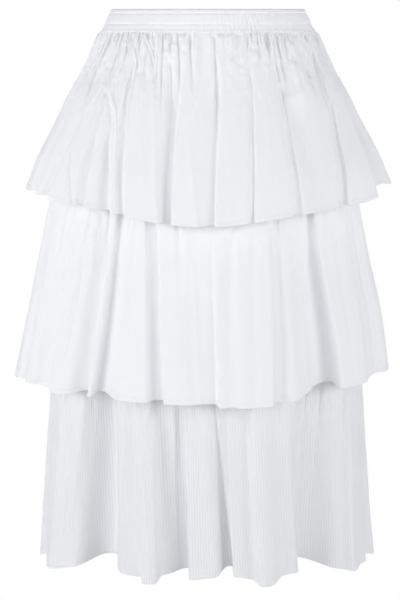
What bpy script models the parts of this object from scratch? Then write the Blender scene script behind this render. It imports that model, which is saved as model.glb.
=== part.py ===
"""Tiered ruffle skirt: an elasticated waistband, a plain base and three gathered tiers.

Metres, +Z up, the front faces -Y and +X is to the viewer's right. The origin is the centre of the
waist opening, at half the height of the waistband. Round the skirt an angle of 0 degrees is the
centre front, 90 the right side seam, 180 the centre back and -90 the left side seam.
Sizes in the tables are millimetres and degrees.
"""
from collections import namedtuple

import bmesh
import bpy
import numpy as np

MM = 0.001                      # metres in one millimetre

# Driving dimensions, in millimetres
CLOTH = 1.2                     # wall of one layer of cloth
CASING = 2.7                    # wall of the waistband: two layers of cloth and the elastic
GAP = 0.3                       # clearance between two pieces at a seam
BAND_TOP = 15.0                 # height of the waistband's upper edge
BAND_BOTTOM = -14.7             # height of the waist seam
HIP_SEAM = -172.0               # height of the seam that carries tier 2
LOW_SEAM = -402.0               # height of the base's lower edge, which carries tier 3

# Gathers and shirring
GATHER_DEPTH = 0.8              # full height of a gather, in millimetres for each degree it spans
GATHER_START = 0.035            # share of the flounce's height at which gathers are full
GATHER_LENGTH = 0.30            # share of its height over which they run out
SHIRR_DEPTH = 1.3               # full height of the elastic's puckers in the waistband
SHIRR_FROM = 2.0                # angle on the front where the puckers start
SHIRR_FULL = 24.0               # angle on the front from which they are full
STITCH_LINE = 0.49              # share of the waistband's height at which it is stitched flat
STITCH_WIDTH = 0.08             # share of its height that the stitching draws in
STITCH_HOLD = 0.55              # part of the puckers' height that the stitching takes away

# Folds
FOLD_START = 0.25               # share of a tier's height below which its folds are free
CROWDING = 1.6                  # extra lines of points at a fold's edge

# Columns of points round each piece, and the share of its height at each row of points
BAND_COLUMNS = 150
TIER_1_COLUMNS = 128
TIER_2_COLUMNS = 112
TIER_3_COLUMNS = 128
BASE_COLUMNS = 48
BAND_ROWS = (0.0, 0.27, 0.49, 0.76, 1.0)
TIER_1_ROWS = (0.0, 0.035, 0.11, 0.21, 0.34, 0.5, 0.67, 0.84, 1.0)
TIER_ROWS = (0.0, 0.14, 0.3, 0.47, 0.65, 0.83, 1.0)
BASE_ROWS = (0.0, 0.22, 0.46, 0.72, 1.0)

# One cross section: half widths to the left and right, half depths to the front and back
Section = namedtuple("Section", "left right front back")

# One fold: the angles of its two edges at the hem, how far it stands out (+) or lies in (-), how
# soft each edge is in degrees, and how far the cloth beside each edge laps over the lower side
Fold = namedtuple("Fold", "left right depth left_soft right_soft left_lap right_lap")

# One line of the cloth from seam to hem, by its angle at each
Line = namedtuple("Line", "seam hem")

# The height of a hem at an angle, before its folds lift or drop it
Hem = namedtuple("Hem", "angle height")

# A gathered tier: its seam's height, hem, evenly spaced cross sections from seam to hem, folds and
# lines. The first cross section is left to the piece that the tier is sewn to. Growth says how
# soon below the seam the folds deepen, and lift how far the hem rises for each millimetre that a
# fold lies further in.
Tier = namedtuple("Tier", "seam hem sections folds lines growth lift")

BAND_SECTIONS = (
    Section(127.5, 127.5, 92.0, 96.0),
    Section(141.5, 141.5, 98.5, 104.5),
)

BASE_SECTIONS = (
    Section(140.0, 140.0, 97.0, 103.0),
    Section(172.0, 170.0, 116.0, 126.0),
    Section(188.0, 185.0, 130.0, 140.0),
    Section(196.0, 194.0, 141.0, 149.0),
    Section(202.0, 201.0, 149.0, 156.0),
)

TIER_1 = Tier(
    seam=BAND_BOTTOM - GAP,
    hem=(
        Hem(-90.0, -220.0), Hem(-70.0, -223.0), Hem(-56.0, -229.0), Hem(-35.0, -237.0),
        Hem(-27.0, -243.0), Hem(-17.0, -252.0), Hem(0.0, -258.0), Hem(12.0, -253.0),
        Hem(22.0, -247.0), Hem(35.0, -240.0), Hem(50.0, -232.0), Hem(64.0, -219.0),
        Hem(90.0, -213.0), Hem(115.0, -224.0), Hem(145.0, -239.0), Hem(180.0, -244.0),
        Hem(215.0, -240.0), Hem(245.0, -228.0), Hem(270.0, -220.0),
    ),
    sections=(
        Section(162.0, 162.0, 113.0, 121.0),
        Section(185.5, 185.0, 130.0, 140.0),
        Section(206.0, 205.0, 146.0, 158.0),
        Section(226.5, 227.0, 161.0, 174.0),
        Section(243.0, 243.5, 174.0, 187.0),
    ),
    folds=(
        Fold(-76.0, -70.0, -7.0, 3.0, 2.0, 0.0, 1.0),
        Fold(-63.0, -56.5, -10.0, 3.5, 1.6, 0.0, 2.0),
        Fold(-45.0, -38.5, -9.0, 3.0, 2.6, 0.0, 0.0),
        Fold(-31.5, -28.0, 6.0, 1.6, 1.2, 1.0, 2.0),
        Fold(-28.0, -23.5, -7.0, 1.2, 3.0, 2.0, 0.0),
        Fold(-17.5, -8.5, -16.0, 3.4, 3.0, 1.0, 1.0),
        Fold(-3.0, 2.3, -9.0, 2.8, 1.2, 0.0, 3.0),
        Fold(11.5, 15.5, -8.0, 1.8, 1.6, 1.0, 1.0),
        Fold(25.5, 29.5, -9.0, 2.2, 1.2, 0.0, 2.5),
        Fold(41.0, 47.5, -12.0, 3.2, 2.4, 0.0, 1.0),
        Fold(57.0, 61.5, -10.0, 2.6, 1.2, 0.0, 2.5),
        Fold(71.0, 78.0, -7.0, 2.6, 2.6, 0.0, 0.0),
        Fold(100.0, 108.0, -10.0, 2.4, 3.0, 1.0, 0.0),
        Fold(118.0, 122.0, -9.0, 1.4, 2.6, 2.5, 0.0),
        Fold(133.0, 142.0, -15.0, 3.2, 2.6, 0.0, 1.0),
        Fold(150.0, 153.5, -7.0, 1.6, 1.8, 1.0, 0.0),
        Fold(164.0, 172.0, -13.0, 1.4, 3.4, 3.0, 0.0),
        Fold(181.0, 186.0, -9.0, 2.4, 1.4, 0.0, 2.0),
        Fold(195.0, 204.5, -15.0, 3.2, 3.0, 0.0, 0.0),
        Fold(214.0, 218.0, -8.0, 1.4, 2.0, 2.0, 0.0),
        Fold(229.0, 237.0, -12.0, 3.0, 2.2, 0.0, 1.5),
        Fold(250.0, 257.0, -9.0, 2.4, 2.6, 1.0, 0.0),
    ),
    lines=(
        Line(-90.0, -90.0), Line(-54.0, -57.0), Line(-46.0, -41.0), Line(-39.0, -28.0),
        Line(-25.0, -13.0), Line(-1.0, 1.0), Line(21.5, 13.5), Line(35.0, 27.5),
        Line(63.0, 44.5), Line(76.0, 60.0), Line(90.0, 90.0), Line(115.0, 120.0),
        Line(133.0, 138.0), Line(160.0, 167.0), Line(184.0, 183.0), Line(206.0, 200.0),
        Line(223.0, 216.0), Line(241.0, 234.0), Line(270.0, 270.0),
    ),
    growth=0.8,
    lift=0.3,
)

TIER_2 = Tier(
    seam=HIP_SEAM,
    hem=(
        Hem(-90.0, -473.0), Hem(-65.0, -472.0), Hem(-47.0, -478.5), Hem(-35.0, -476.5),
        Hem(-25.0, -479.0), Hem(-12.0, -480.0), Hem(0.0, -484.0), Hem(10.0, -486.0),
        Hem(22.0, -483.5), Hem(30.0, -478.0), Hem(45.0, -469.5), Hem(57.0, -468.0),
        Hem(70.0, -465.0), Hem(90.0, -461.0), Hem(125.0, -472.0), Hem(180.0, -480.0),
        Hem(235.0, -476.0), Hem(270.0, -473.0),
    ),
    sections=(
        Section(212.5, 201.5, 146.0, 157.0),
        Section(229.0, 216.5, 162.0, 174.0),
        Section(244.5, 233.5, 178.0, 190.0),
        Section(260.5, 243.5, 193.0, 205.0),
    ),
    folds=(
        Fold(-77.0, -70.0, -7.0, 3.0, 2.4, 0.0, 0.0),
        Fold(-62.0, -53.0, -8.0, 3.6, 1.2, 0.0, 2.0),
        Fold(-35.0, -25.3, -20.0, 2.4, 1.2, 1.0, 4.0),
        Fold(-17.5, -13.5, -9.0, 2.2, 1.1, 0.0, 2.6),
        Fold(-4.0, 2.6, -14.0, 3.6, 0.9, 0.0, 5.0),
        Fold(5.5, 9.0, -3.0, 1.8, 1.8, 0.0, 0.0),
        Fold(20.9, 25.5, -9.0, 0.9, 2.2, 3.0, 0.0),
        Fold(27.2, 45.5, -27.0, 1.0, 3.6, 6.0, 1.0),
        Fold(62.0, 73.0, -9.0, 2.4, 3.4, 0.0, 0.0),
        Fold(103.0, 113.0, -13.0, 2.6, 1.4, 0.0, 3.0),
        Fold(124.0, 129.0, -9.0, 2.4, 1.4, 0.0, 2.0),
        Fold(139.0, 154.0, -23.0, 3.4, 1.0, 1.0, 5.0),
        Fold(165.0, 169.0, -9.0, 1.2, 2.2, 3.0, 0.0),
        Fold(180.0, 192.0, -20.0, 1.0, 3.4, 5.0, 0.0),
        Fold(203.0, 207.0, -8.0, 2.0, 1.2, 0.0, 2.0),
        Fold(217.0, 229.0, -19.0, 2.4, 1.2, 0.0, 4.0),
        Fold(241.0, 246.0, -8.0, 1.4, 2.4, 2.0, 0.0),
        Fold(254.0, 260.0, -7.0, 2.4, 2.4, 0.0, 0.0),
    ),
    lines=(
        Line(-90.0, -90.0), Line(-55.0, -51.0), Line(-36.0, -31.0), Line(-22.0, -15.0),
        Line(-1.0, 2.0), Line(25.0, 22.0), Line(36.0, 35.0), Line(57.0, 55.0),
        Line(90.0, 90.0), Line(121.0, 126.0), Line(152.0, 148.0), Line(184.0, 187.0),
        Line(226.0, 222.0), Line(270.0, 270.0),
    ),
    growth=0.7,
    lift=0.3,
)

TIER_3 = Tier(
    seam=LOW_SEAM - GAP,
    hem=(
        Hem(-90.0, -722.0), Hem(-75.0, -719.0), Hem(-62.0, -721.0), Hem(-50.0, -713.0),
        Hem(-38.0, -712.0), Hem(-20.0, -713.0), Hem(-10.0, -715.0), Hem(0.0, -711.0),
        Hem(8.0, -709.0), Hem(18.0, -717.0), Hem(28.0, -709.0), Hem(42.0, -719.0),
        Hem(56.0, -717.0), Hem(72.0, -718.0), Hem(90.0, -720.0), Hem(135.0, -716.0),
        Hem(180.0, -713.0), Hem(225.0, -715.0), Hem(270.0, -722.0),
    ),
    sections=(
        Section(211.5, 208.0, 156.0, 164.0),
        Section(218.0, 213.5, 162.0, 171.0),
        Section(223.5, 219.5, 167.0, 176.0),
        Section(229.0, 226.5, 172.0, 181.0),
    ),
    folds=(
        Fold(-84.0, -70.0, -6.0, 2.4, 1.4, 0.0, 1.0),
        Fold(-69.0, -60.0, 5.0, 2.0, 3.0, 1.0, 0.0),
        Fold(-54.0, -30.0, -27.0, 3.6, 6.0, 1.0, 0.0),
        Fold(-21.6, -16.2, 14.0, 1.2, 1.2, 2.0, 2.0),
        Fold(-15.8, -6.5, -25.0, 2.2, 0.9, 0.0, 6.0),
        Fold(-0.4, 13.2, -33.0, 4.4, 3.2, 0.0, 1.0),
        Fold(15.2, 21.9, 14.0, 1.2, 1.0, 2.0, 3.0),
        Fold(31.6, 52.8, -30.0, 1.0, 1.1, 6.5, 5.0),
        Fold(52.0, 62.0, 7.0, 1.4, 3.0, 1.0, 0.0),
        Fold(72.0, 82.0, -8.0, 3.0, 2.6, 0.0, 0.0),
        Fold(101.0, 114.0, -22.0, 2.6, 1.2, 0.0, 4.0),
        Fold(122.0, 130.0, 10.0, 1.8, 1.4, 1.0, 3.0),
        Fold(130.0, 146.0, -30.0, 1.2, 3.4, 6.0, 0.0),
        Fold(157.0, 170.0, -30.0, 1.8, 1.1, 2.0, 6.0),
        Fold(176.0, 183.0, 10.0, 1.4, 1.8, 2.0, 0.0),
        Fold(184.0, 199.0, -31.0, 2.6, 1.4, 0.0, 5.0),
        Fold(210.0, 224.0, -28.0, 1.1, 2.8, 6.0, 0.0),
        Fold(226.0, 233.0, 9.0, 2.0, 1.6, 0.0, 1.0),
        Fold(240.0, 255.0, -25.0, 1.4, 3.0, 5.0, 0.0),
    ),
    lines=(
        Line(-90.0, -90.0), Line(-67.0, -65.0), Line(-43.0, -41.0), Line(-28.0, -19.5),
        Line(-8.5, -7.0), Line(2.0, 6.0), Line(16.0, 18.5), Line(37.0, 33.0),
        Line(58.0, 52.0), Line(90.0, 90.0), Line(121.0, 126.0), Line(150.0, 150.0),
        Line(179.0, 181.0), Line(213.0, 212.0), Line(236.0, 240.0), Line(270.0, 270.0),
    ),
    growth=0.55,
    lift=0.4,
)

FULL_TURN = 360.0
SIDE = 90.0                     # angle of the right side seam
HALVES = {"front": (-SIDE, SIDE), "back": (SIDE, 3 * SIDE)}


def smooth(share):
    """An ease from 0 to 1 with level ends."""
    share = np.clip(share, 0.0, 1.0)
    return share * share * (3.0 - 2.0 * share)


def along(values, share):
    """A soft curve through evenly spaced values, read at a share of its length."""
    values = np.asarray(values, dtype=float)
    padded = np.concatenate(([2 * values[0] - values[1]], values, [2 * values[-1] - values[-2]]))
    place = np.clip(share, 0.0, 1.0) * (len(values) - 1)
    step = np.minimum(place.astype(int), len(values) - 2)
    t = place - step
    before, start, end, after = (padded[step + k] for k in range(4))
    return 0.5 * (2 * start + (end - before) * t
                  + (2 * before - 5 * start + 4 * end - after) * t ** 2
                  + (3 * start - before - 3 * end + after) * t ** 3)


def oval(sections, angle, share):
    """Points of the cross sections, and the ways out of them and round them."""
    sin, cos = np.sin(np.radians(angle)), np.cos(np.radians(angle))
    left, right, front, back = (along([getattr(s, side) for s in sections], share)
                                for side in Section._fields)
    wide = np.where(sin < 0, left, right)
    deep = np.where(cos < 0, back, front)
    length = np.hypot(deep * sin, wide * cos)
    out = np.stack([deep * sin / length, -wide * cos / length])
    around = np.stack([-out[1], out[0]])
    return np.stack([wide * sin, -deep * cos]), out, around


def turned(angle):
    """The same angle, between -180 and 180."""
    return (angle + FULL_TURN / 2) % FULL_TURN - FULL_TURN / 2


def folded(folds, angle):
    """How far the folds move the hem out, and how far round."""
    outward = np.zeros_like(angle)
    sideways = np.zeros_like(angle)
    for fold in folds:
        from_left, from_right = turned(angle - fold.left), turned(angle - fold.right)
        wide = turned(fold.right - fold.left)
        middle = np.abs(turned(angle - fold.left - wide / 2)) < FULL_TURN / 4
        outward += middle * fold.depth * 0.5 * (np.tanh(1.5 * from_left / fold.left_soft)
                                                - np.tanh(1.5 * from_right / fold.right_soft))
        for away, soft, lap in ((from_left, fold.left_soft, fold.left_lap),
                                (from_right, fold.right_soft, fold.right_lap)):
            reach = away / soft
            sideways -= lap * reach * np.exp(0.5 * (1.0 - reach ** 2))
    return outward, sideways


def read_round(places, values, angle):
    """A soft curve round the skirt through the values at some angles, read at an angle."""
    near = [np.interp((angle + step - places[0]) % FULL_TURN + places[0], places, values)
            for step in (-4.0, -2.0, 0.0, 2.0, 4.0)]
    return np.mean(near, axis=0)


def seam_angle(lines, angle):
    """The angle at the seam of the line of cloth that is at this angle at the hem."""
    drifts = [line.seam - line.hem for line in lines]
    return angle + read_round([line.hem for line in lines], drifts, angle)


def crowding(angle, edges, extra):
    """How close the lines of points lie: closer at the edges of folds."""
    density = np.ones_like(angle)
    for edge, soft in edges:
        density += extra * np.exp(-(turned(angle - edge) / (1.5 * soft)) ** 2)
    return density


def line_counter(edges, count, extra=CROWDING):
    """Functions that count the lines of points from the left side seam, and that place them."""
    angles = np.linspace(-SIDE, -SIDE + FULL_TURN, 1441)
    density = crowding(angles, edges, extra)
    counted = np.concatenate(([0.0], np.cumsum((density[1:] + density[:-1]) / 2)))
    half = counted[len(angles) // 2]
    front, back = half, counted[-1] - half
    scaled = np.where(counted <= half, counted / front,
                      1.0 + (counted - half) / back) * count / 2

    def counter(angle):
        return np.interp((angle + SIDE) % FULL_TURN, angles + SIDE, scaled)

    def placed(number):
        return np.interp(number, scaled, angles)

    return counter, placed


def uneven(angle, first, second, third):
    """A slow, repeatable unevenness between about -1 and 1 round the skirt."""
    turn = np.radians(angle)
    return (np.sin(first * turn + 0.7) + np.sin(second * turn + 2.1)
            + np.sin(third * turn + 4.0)) / 3.0


def gathered(tier, gathers, angle, share):
    """How far the gathers below a seam stand out: less at the side seams, and uneven in length."""
    step = 0.5
    turn = seam_angle(tier.lines, angle + step) - seam_angle(tier.lines, angle - step)
    span = 2.0 * turn / np.maximum(gathers(angle + step) - gathers(angle - step), step)
    reach = GATHER_LENGTH * (1.0 + 0.45 * uneven(angle, 11, 17, 29))
    fade = smooth(share / GATHER_START) * (1.0 - smooth(share / reach))
    sides = smooth(0.3 + 3.0 * np.cos(np.radians(angle)) ** 2)
    size = GATHER_DEPTH * span * (0.85 + 0.3 * uneven(angle, 13, 23, 31)) * sides
    return size * fade * 0.5 * (1.0 + np.cos(np.pi * gathers(angle)))


def tier_surface(tier, sections, gathers=None):
    """The outer surface of a tier, as a function of the angle at the hem and the share of height."""

    def surface(angle, share):
        turn = seam_angle(tier.lines, angle) * (1.0 - share) + angle * share
        point, out, around = oval(sections, turn, share)
        outward, sideways = folded(tier.folds, angle)
        grown = smooth(share / FOLD_START) * share ** tier.growth
        outward = outward * grown
        sideways = sideways * grown
        drop = read_round([row.angle for row in tier.hem], [row.height for row in tier.hem],
                          angle) - tier.seam
        height = tier.seam + drop * share - tier.lift * outward * share
        if gathers is not None:
            outward = outward + gathered(tier, gathers, angle, share)
        flat = point + out * outward + around * sideways
        return np.stack([flat[0], flat[1], height])

    return surface


def band_surface(counter):
    """The outer surface of the waistband: plain at the left of the front, puckered elsewhere."""

    def surface(angle, share):
        point, out, _ = oval(BAND_SECTIONS, angle, share)
        front = turned(angle)
        elastic = np.where(np.abs(front) < SIDE,
                           smooth((front - SHIRR_FROM) / (SHIRR_FULL - SHIRR_FROM)), 1.0)
        stitched = 1.0 - STITCH_HOLD * np.exp(-((share - STITCH_LINE) / STITCH_WIDTH) ** 2)
        size = SHIRR_DEPTH * (0.8 + 0.35 * uneven(angle, 19, 27, 37)) * (0.45 + 0.55 * share)
        outward = -size * elastic * stitched * 0.5 * (1.0 - np.cos(np.pi * counter(angle)))
        flat = point + out * outward
        height = BAND_TOP + (BAND_BOTTOM - BAND_TOP) * share
        return np.stack([flat[0], flat[1], height])

    return surface


def base_surface(angle, share):
    """The outer surface of the plain base."""
    point, _, _ = oval(BASE_SECTIONS, angle, share)
    height = BAND_BOTTOM - GAP + (LOW_SEAM - BAND_BOTTOM + GAP) * share
    return np.stack([point[0], point[1], height])


def base_section(height, outside):
    """The base's cross section at a height, moved outside it."""
    share = (BAND_BOTTOM - height) / (BAND_BOTTOM - LOW_SEAM)
    return Section(*(float(along([getattr(s, side) for s in BASE_SECTIONS], np.array(share)))
                     + outside for side in Section._fields))


def sheet_points(surface, angles, shares, wall):
    """Outer and inner points of a wall, row by row, with its ends kept clear of the side seams."""
    angle, share = np.meshgrid(angles, shares)
    outer = surface(angle, share)
    turn, drop = 0.4, 0.01
    across = surface(angle + turn, share) - surface(angle - turn, share)
    down = (surface(angle, np.minimum(share + drop, 1.0))
            - surface(angle, np.maximum(share - drop, 0.0)))
    normal = np.cross(down, across, axis=0)
    normal /= np.linalg.norm(normal, axis=0)
    inner = outer - wall * normal
    inner[2, 0] = outer[2, 0]
    inner[2, -1] = outer[2, -1]
    facing = -1.0 if abs(turned(angles.mean())) < SIDE else 1.0
    for points in (outer, inner):
        points[1][:, 0] = points[1][:, -1] = facing * GAP / 2
    return np.moveaxis(outer, 0, -1) * MM, np.moveaxis(inner, 0, -1) * MM


def wall_solid(name, outer, inner, material):
    """One closed body between the outer and the inner points."""
    rows, columns, _ = outer.shape
    mesh_edit = bmesh.new()
    skins = [[[mesh_edit.verts.new(point) for point in row] for row in skin]
             for skin in (outer, inner)]
    for row in range(rows - 1):
        for column in range(columns - 1):
            for skin, flip in zip(skins, (1, -1)):
                a, b = skin[row][column], skin[row][column + 1]
                c, d = skin[row + 1][column + 1], skin[row + 1][column]
                mesh_edit.faces.new((a, c, b)[::flip])
                mesh_edit.faces.new((a, d, c)[::flip])
    out, into = skins
    rim = ([(0, column) for column in range(columns - 1)]
           + [(row, columns - 1) for row in range(rows - 1)]
           + [(rows - 1, column) for column in range(columns - 1, 0, -1)]
           + [(row, 0) for row in range(rows - 1, 0, -1)])
    for (row, column), (next_row, next_column) in zip(rim, rim[1:] + rim[:1]):
        a, b = out[row][column], out[next_row][next_column]
        c, d = into[next_row][next_column], into[row][column]
        mesh_edit.faces.new((a, b, c))
        mesh_edit.faces.new((a, c, d))
    bmesh.ops.recalc_face_normals(mesh_edit, faces=mesh_edit.faces)
    mesh = bpy.data.meshes.new(name)
    mesh_edit.to_mesh(mesh)
    mesh_edit.free()
    mesh.shade_smooth()
    mesh.set_sharp_from_angle(angle=np.radians(60.0))
    mesh.materials.append(material)
    piece = bpy.data.objects.new(name, mesh)
    bpy.context.scene.collection.objects.link(piece)
    return piece


def cloth_material(name, colour, roughness):
    """Plain cotton of one colour."""
    material = bpy.data.materials.new(name)
    material.use_nodes = True
    shader = material.node_tree.nodes["Principled BSDF"]
    shader.inputs["Base Color"].default_value = (*colour, 1.0)
    shader.inputs["Roughness"].default_value = roughness
    shader.inputs["Metallic"].default_value = 0.0
    return material


def build_piece(name, surface, placed, count, shares, wall, material):
    """The front and back halves of one piece."""
    for number, half in enumerate(HALVES):
        places = np.arange(count // 2 + 1) + number * count // 2
        outer, inner = sheet_points(surface, placed(places), np.array(shares), wall)
        wall_solid(f"{name}_{half}", outer, inner, material)


def fold_edges(folds):
    """Each edge of each fold with its softness."""
    return ([(fold.left, fold.left_soft) for fold in folds]
            + [(fold.right, fold.right_soft) for fold in folds])


def build_waistband(material):
    puckered = [(angle, 9.0) for angle in (20.0, 40.0, 60.0, 80.0)]
    counter, placed = line_counter(puckered, BAND_COLUMNS)
    build_piece("waistband", band_surface(counter), placed, BAND_COLUMNS, BAND_ROWS, CASING,
                material)


def build_base(material):
    _, placed = line_counter([], BASE_COLUMNS)
    build_piece("base", base_surface, placed, BASE_COLUMNS, BASE_ROWS, CLOTH, material)


def build_gathered_tier(name, tier, carried_on, columns, shares, material):
    """A tier whose gathered seam shows: each gather is a line of points out and a line in."""
    counter, placed = line_counter(fold_edges(tier.folds), columns, CROWDING / 3.0)
    surface = tier_surface(tier, (carried_on,) + tier.sections, counter)
    build_piece(name, surface, placed, columns, shares, CLOTH, material)


def build_lower_tier(name, tier, carried_on, columns, shares, material):
    """A tier whose seam is hidden below the one above, with its large folds alone."""
    _, placed = line_counter(fold_edges(tier.folds), columns)
    surface = tier_surface(tier, (carried_on,) + tier.sections)
    build_piece(name, surface, placed, columns, shares, CLOTH, material)


def main():
    for old in list(bpy.data.objects):
        bpy.data.objects.remove(old, do_unlink=True)
    poplin = cloth_material("white_poplin", (0.86, 0.87, 0.89), 0.85)
    striped = cloth_material("white_striped_poplin", (0.84, 0.85, 0.87), 0.85)
    build_waistband(poplin)
    build_base(poplin)
    build_gathered_tier("tier_1", TIER_1, BAND_SECTIONS[-1], TIER_1_COLUMNS, TIER_1_ROWS, poplin)
    build_lower_tier("tier_2", TIER_2, base_section(HIP_SEAM, CLOTH + GAP), TIER_2_COLUMNS,
                     TIER_ROWS, poplin)
    build_lower_tier("tier_3", TIER_3, BASE_SECTIONS[-1], TIER_3_COLUMNS, TIER_ROWS, striped)


main()
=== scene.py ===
"""Sews and dresses a tiered ruffle skirt: waistband, base, three gathered tiers and their stitching.

Metres, +Z up, the front faces -Y. Sizes in the tables are millimetres and degrees. Round the skirt
0 degrees is the centre front, 90 the right side seam, 180 the centre back and -90 the left side
seam. A place on a tier is an angle at its hem and a share of the way from its seam to its hem.
"""

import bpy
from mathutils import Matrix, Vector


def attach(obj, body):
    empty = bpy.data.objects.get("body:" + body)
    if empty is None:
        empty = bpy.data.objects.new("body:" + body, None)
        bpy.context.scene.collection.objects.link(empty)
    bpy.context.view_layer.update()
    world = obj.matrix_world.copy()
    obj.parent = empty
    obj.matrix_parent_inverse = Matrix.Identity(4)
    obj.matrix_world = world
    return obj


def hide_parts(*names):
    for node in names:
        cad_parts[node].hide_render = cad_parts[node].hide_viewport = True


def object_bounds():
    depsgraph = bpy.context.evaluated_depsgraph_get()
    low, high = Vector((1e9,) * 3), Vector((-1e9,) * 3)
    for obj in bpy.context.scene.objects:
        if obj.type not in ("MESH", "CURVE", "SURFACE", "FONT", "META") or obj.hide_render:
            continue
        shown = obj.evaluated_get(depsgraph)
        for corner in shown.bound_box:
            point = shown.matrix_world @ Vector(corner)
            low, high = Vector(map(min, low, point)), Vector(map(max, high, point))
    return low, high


bl_info = {
    "name": "Tiered Ruffle Skirt",
    "version": (1, 0, 0),
    "blender": (4, 5, 0),
    "location": "3D View > Sidebar > Skirt",
    "description": "Sews the waistband, base and gathered tiers of a tiered ruffle skirt",
    "category": "Add Mesh",
}

from collections import namedtuple

import bpy
import numpy as np
from bpy.props import FloatProperty, FloatVectorProperty
from mathutils import Vector

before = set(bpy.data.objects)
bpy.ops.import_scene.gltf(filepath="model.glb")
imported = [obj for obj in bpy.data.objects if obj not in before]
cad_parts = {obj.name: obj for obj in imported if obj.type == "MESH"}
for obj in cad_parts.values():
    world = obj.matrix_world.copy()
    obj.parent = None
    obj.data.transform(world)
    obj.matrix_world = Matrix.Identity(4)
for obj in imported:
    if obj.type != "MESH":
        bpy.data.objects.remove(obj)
CAD_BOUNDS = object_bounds()

MM = 0.001                      # metres in one millimetre
BODY = "root"                   # the one body that all the cloth belongs to

# --- Driving dimensions, in millimetres and degrees ---
CLOTH = 1.2                     # wall of one layer of cloth in the solids of model.glb
GAP = 0.3                       # clearance between two pieces at a seam
BAND_TOP = 15.0                 # height of the waistband's upper edge
BAND_BOTTOM = -14.7             # height of the waist seam
HIP_SEAM = -172.0               # height of the seam that carries tier 2
LOW_SEAM = -402.0               # height of the base's lower edge, which carries tier 3

FULL_TURN = 360.0
SIDE = 90.0                     # angle of the right side seam
HALVES = {"front": (-SIDE, SIDE), "back": (SIDE, 3 * SIDE)}
FACING = {"front": -1.0, "back": 1.0}
ROUNDNESS = 0.86                # a tier's mean radius beside its half width

MAIN_GATHERS = 32               # main gathers of each half of the top tier
GATHER_DEPTH = 0.28             # height of a main gather, in millimetres for each degree it spans
GATHER_START = 0.035            # share of the tier's height at which main gathers are full
GATHER_LENGTH = 0.30            # share of its height over which they run out
GATHER_PUFF = 1.3               # how far the gathered cloth swells out below a seam
FOLD_START = 0.25               # share of a tier's height below which its folds are free
CROWDING = 1.6                  # how much closer the lines of points are at a fold's edge
CREASE_REACH = 3.2              # widths beside its line at which a crease has run out
SEAM_RISE = 0.4                 # share of the relief gained with each degree from a side seam

HEM_STITCH = 5.6                # height of the turned hem's stitching above the edge
# Heights of the turned hem's rows of points above the edge, and the stitching's row among them
HEM_ROWS = (7.6, 6.6, 6.1, HEM_STITCH, 5.1, 4.2, 2.8, 1.4, 0.5, 0.0)
STITCH_ROW = HEM_ROWS.index(HEM_STITCH) - len(HEM_ROWS)
HEM_RADIUS = 0.35               # radius of the fold at the hem's edge
HEM_PUFF = 0.15                 # how far the turned hem stands out
HEM_STEP = 1.2                  # height over which it comes to stand out
HEM_GROOVE = 0.28               # how far its stitching draws the cloth in
GROOVE_WIDTH = 0.7              # how far that reaches above and below the stitching
TUCK = 2.6                      # how far the top tier's cloth goes up inside the waistband
TUCK_DEPTH = 1.4                # how far it lies in there
ALLOWANCE = 5                   # columns of cloth turned in at each side seam
ALLOWANCE_DEPTH = 0.7           # how far that turned cloth lies inside the skirt

EDGE_STITCH = 5.4               # first row of stitching, below the waistband's upper edge
CASING_STITCH = 19.5            # second row of stitching, below the upper edge
PUCKER_PITCH = 2.05             # mean angle between two puckers of the waistband

# Columns of points round each half piece, and rows down it
BAND_COLUMNS = 420
TIER_1_COLUMNS = 600
TIER_2_COLUMNS = 420
TIER_3_COLUMNS = 460
BASE_COLUMNS = 150
TIER_1_ROWS = 128
TIER_ROWS = 92
BASE_ROWS = 56
BAND_FINENESS = 2               # rows of points for each row of the waistband's table
CREASE_POINTS = 28              # points along a crease's line
FINE_ANGLES = 2881              # angles round the skirt at which its lines are measured
MEASURED_ROW = 0.8              # share of the way down a piece at which its width is measured

# --- Tables ---
# A cross section: half widths to the left and right, half depths to the front and back
Section = namedtuple("Section", "left right front back")

# A fold: the angles of its two edges at the hem, how far it stands out (+) or lies in (-), how
# soft each edge is in degrees, how far the cloth beside each edge laps over the lower side, and
# how many degrees further round each edge starts at the seam
Fold = namedtuple("Fold", "left right depth left_soft right_soft left_lap right_lap left_drift "
                  "right_drift", defaults=(0.0, 0.0))

# A line of the cloth from seam to hem, by its angle at each
Line = namedtuple("Line", "seam hem")

# The height of a hem at an angle, before its folds lift or drop it
Hem = namedtuple("Hem", "angle height")

# A gathered tier: its seam's height, hem, evenly spaced cross sections from seam to hem, folds and
# lines. Growth says how soon below the seam the folds deepen, and lift how far the hem rises for
# each millimetre that a fold lies further in.
Tier = namedtuple("Tier", "seam hem sections folds lines growth lift")

# A crease: its height (+ ridge, - trough), its width in millimetres on the left and on the right
# of its line, and the places it runs through, each an angle and a share. It fades out towards its
# last place, so a crease that reaches the hem runs on past it.
Crease = namedtuple("Crease", "height left right path")

# A row of random gathers: degrees between two of them at the seam, where they start, how long and
# deep they are, how wide, how many degrees they slant by, and how clear they keep of the others
Comb = namedtuple("Comb", "pitch start length depth width slant clear seed")

# A line along the waistband's section: how far below its upper edge, and how far out
BandRow = namedtuple("BandRow", "drop out")

# The cut of a half piece in metres: its width before gathering and its length, and how it is held
Cut = namedtuple("Cut", "width length held")


def table(kind, *rows):
    """A table whose rows have the named columns of their kind."""
    return tuple(kind(*row) for row in rows)


def creases(*rows):
    """A table of creases, each with its height, its two widths and then its places."""
    return tuple(Crease(*row[:3], row[3:]) for row in rows)


BAND_SECTIONS = table(
    Section, (127.5, 127.5, 92, 96), (141.5, 141.5, 98.5, 104.5))

BASE_SECTIONS = table(
    Section, (140, 140, 97, 103), (172, 170, 116, 126), (188, 185, 130, 140), (196, 194, 141, 149),
    (202, 201, 149, 156))

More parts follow.
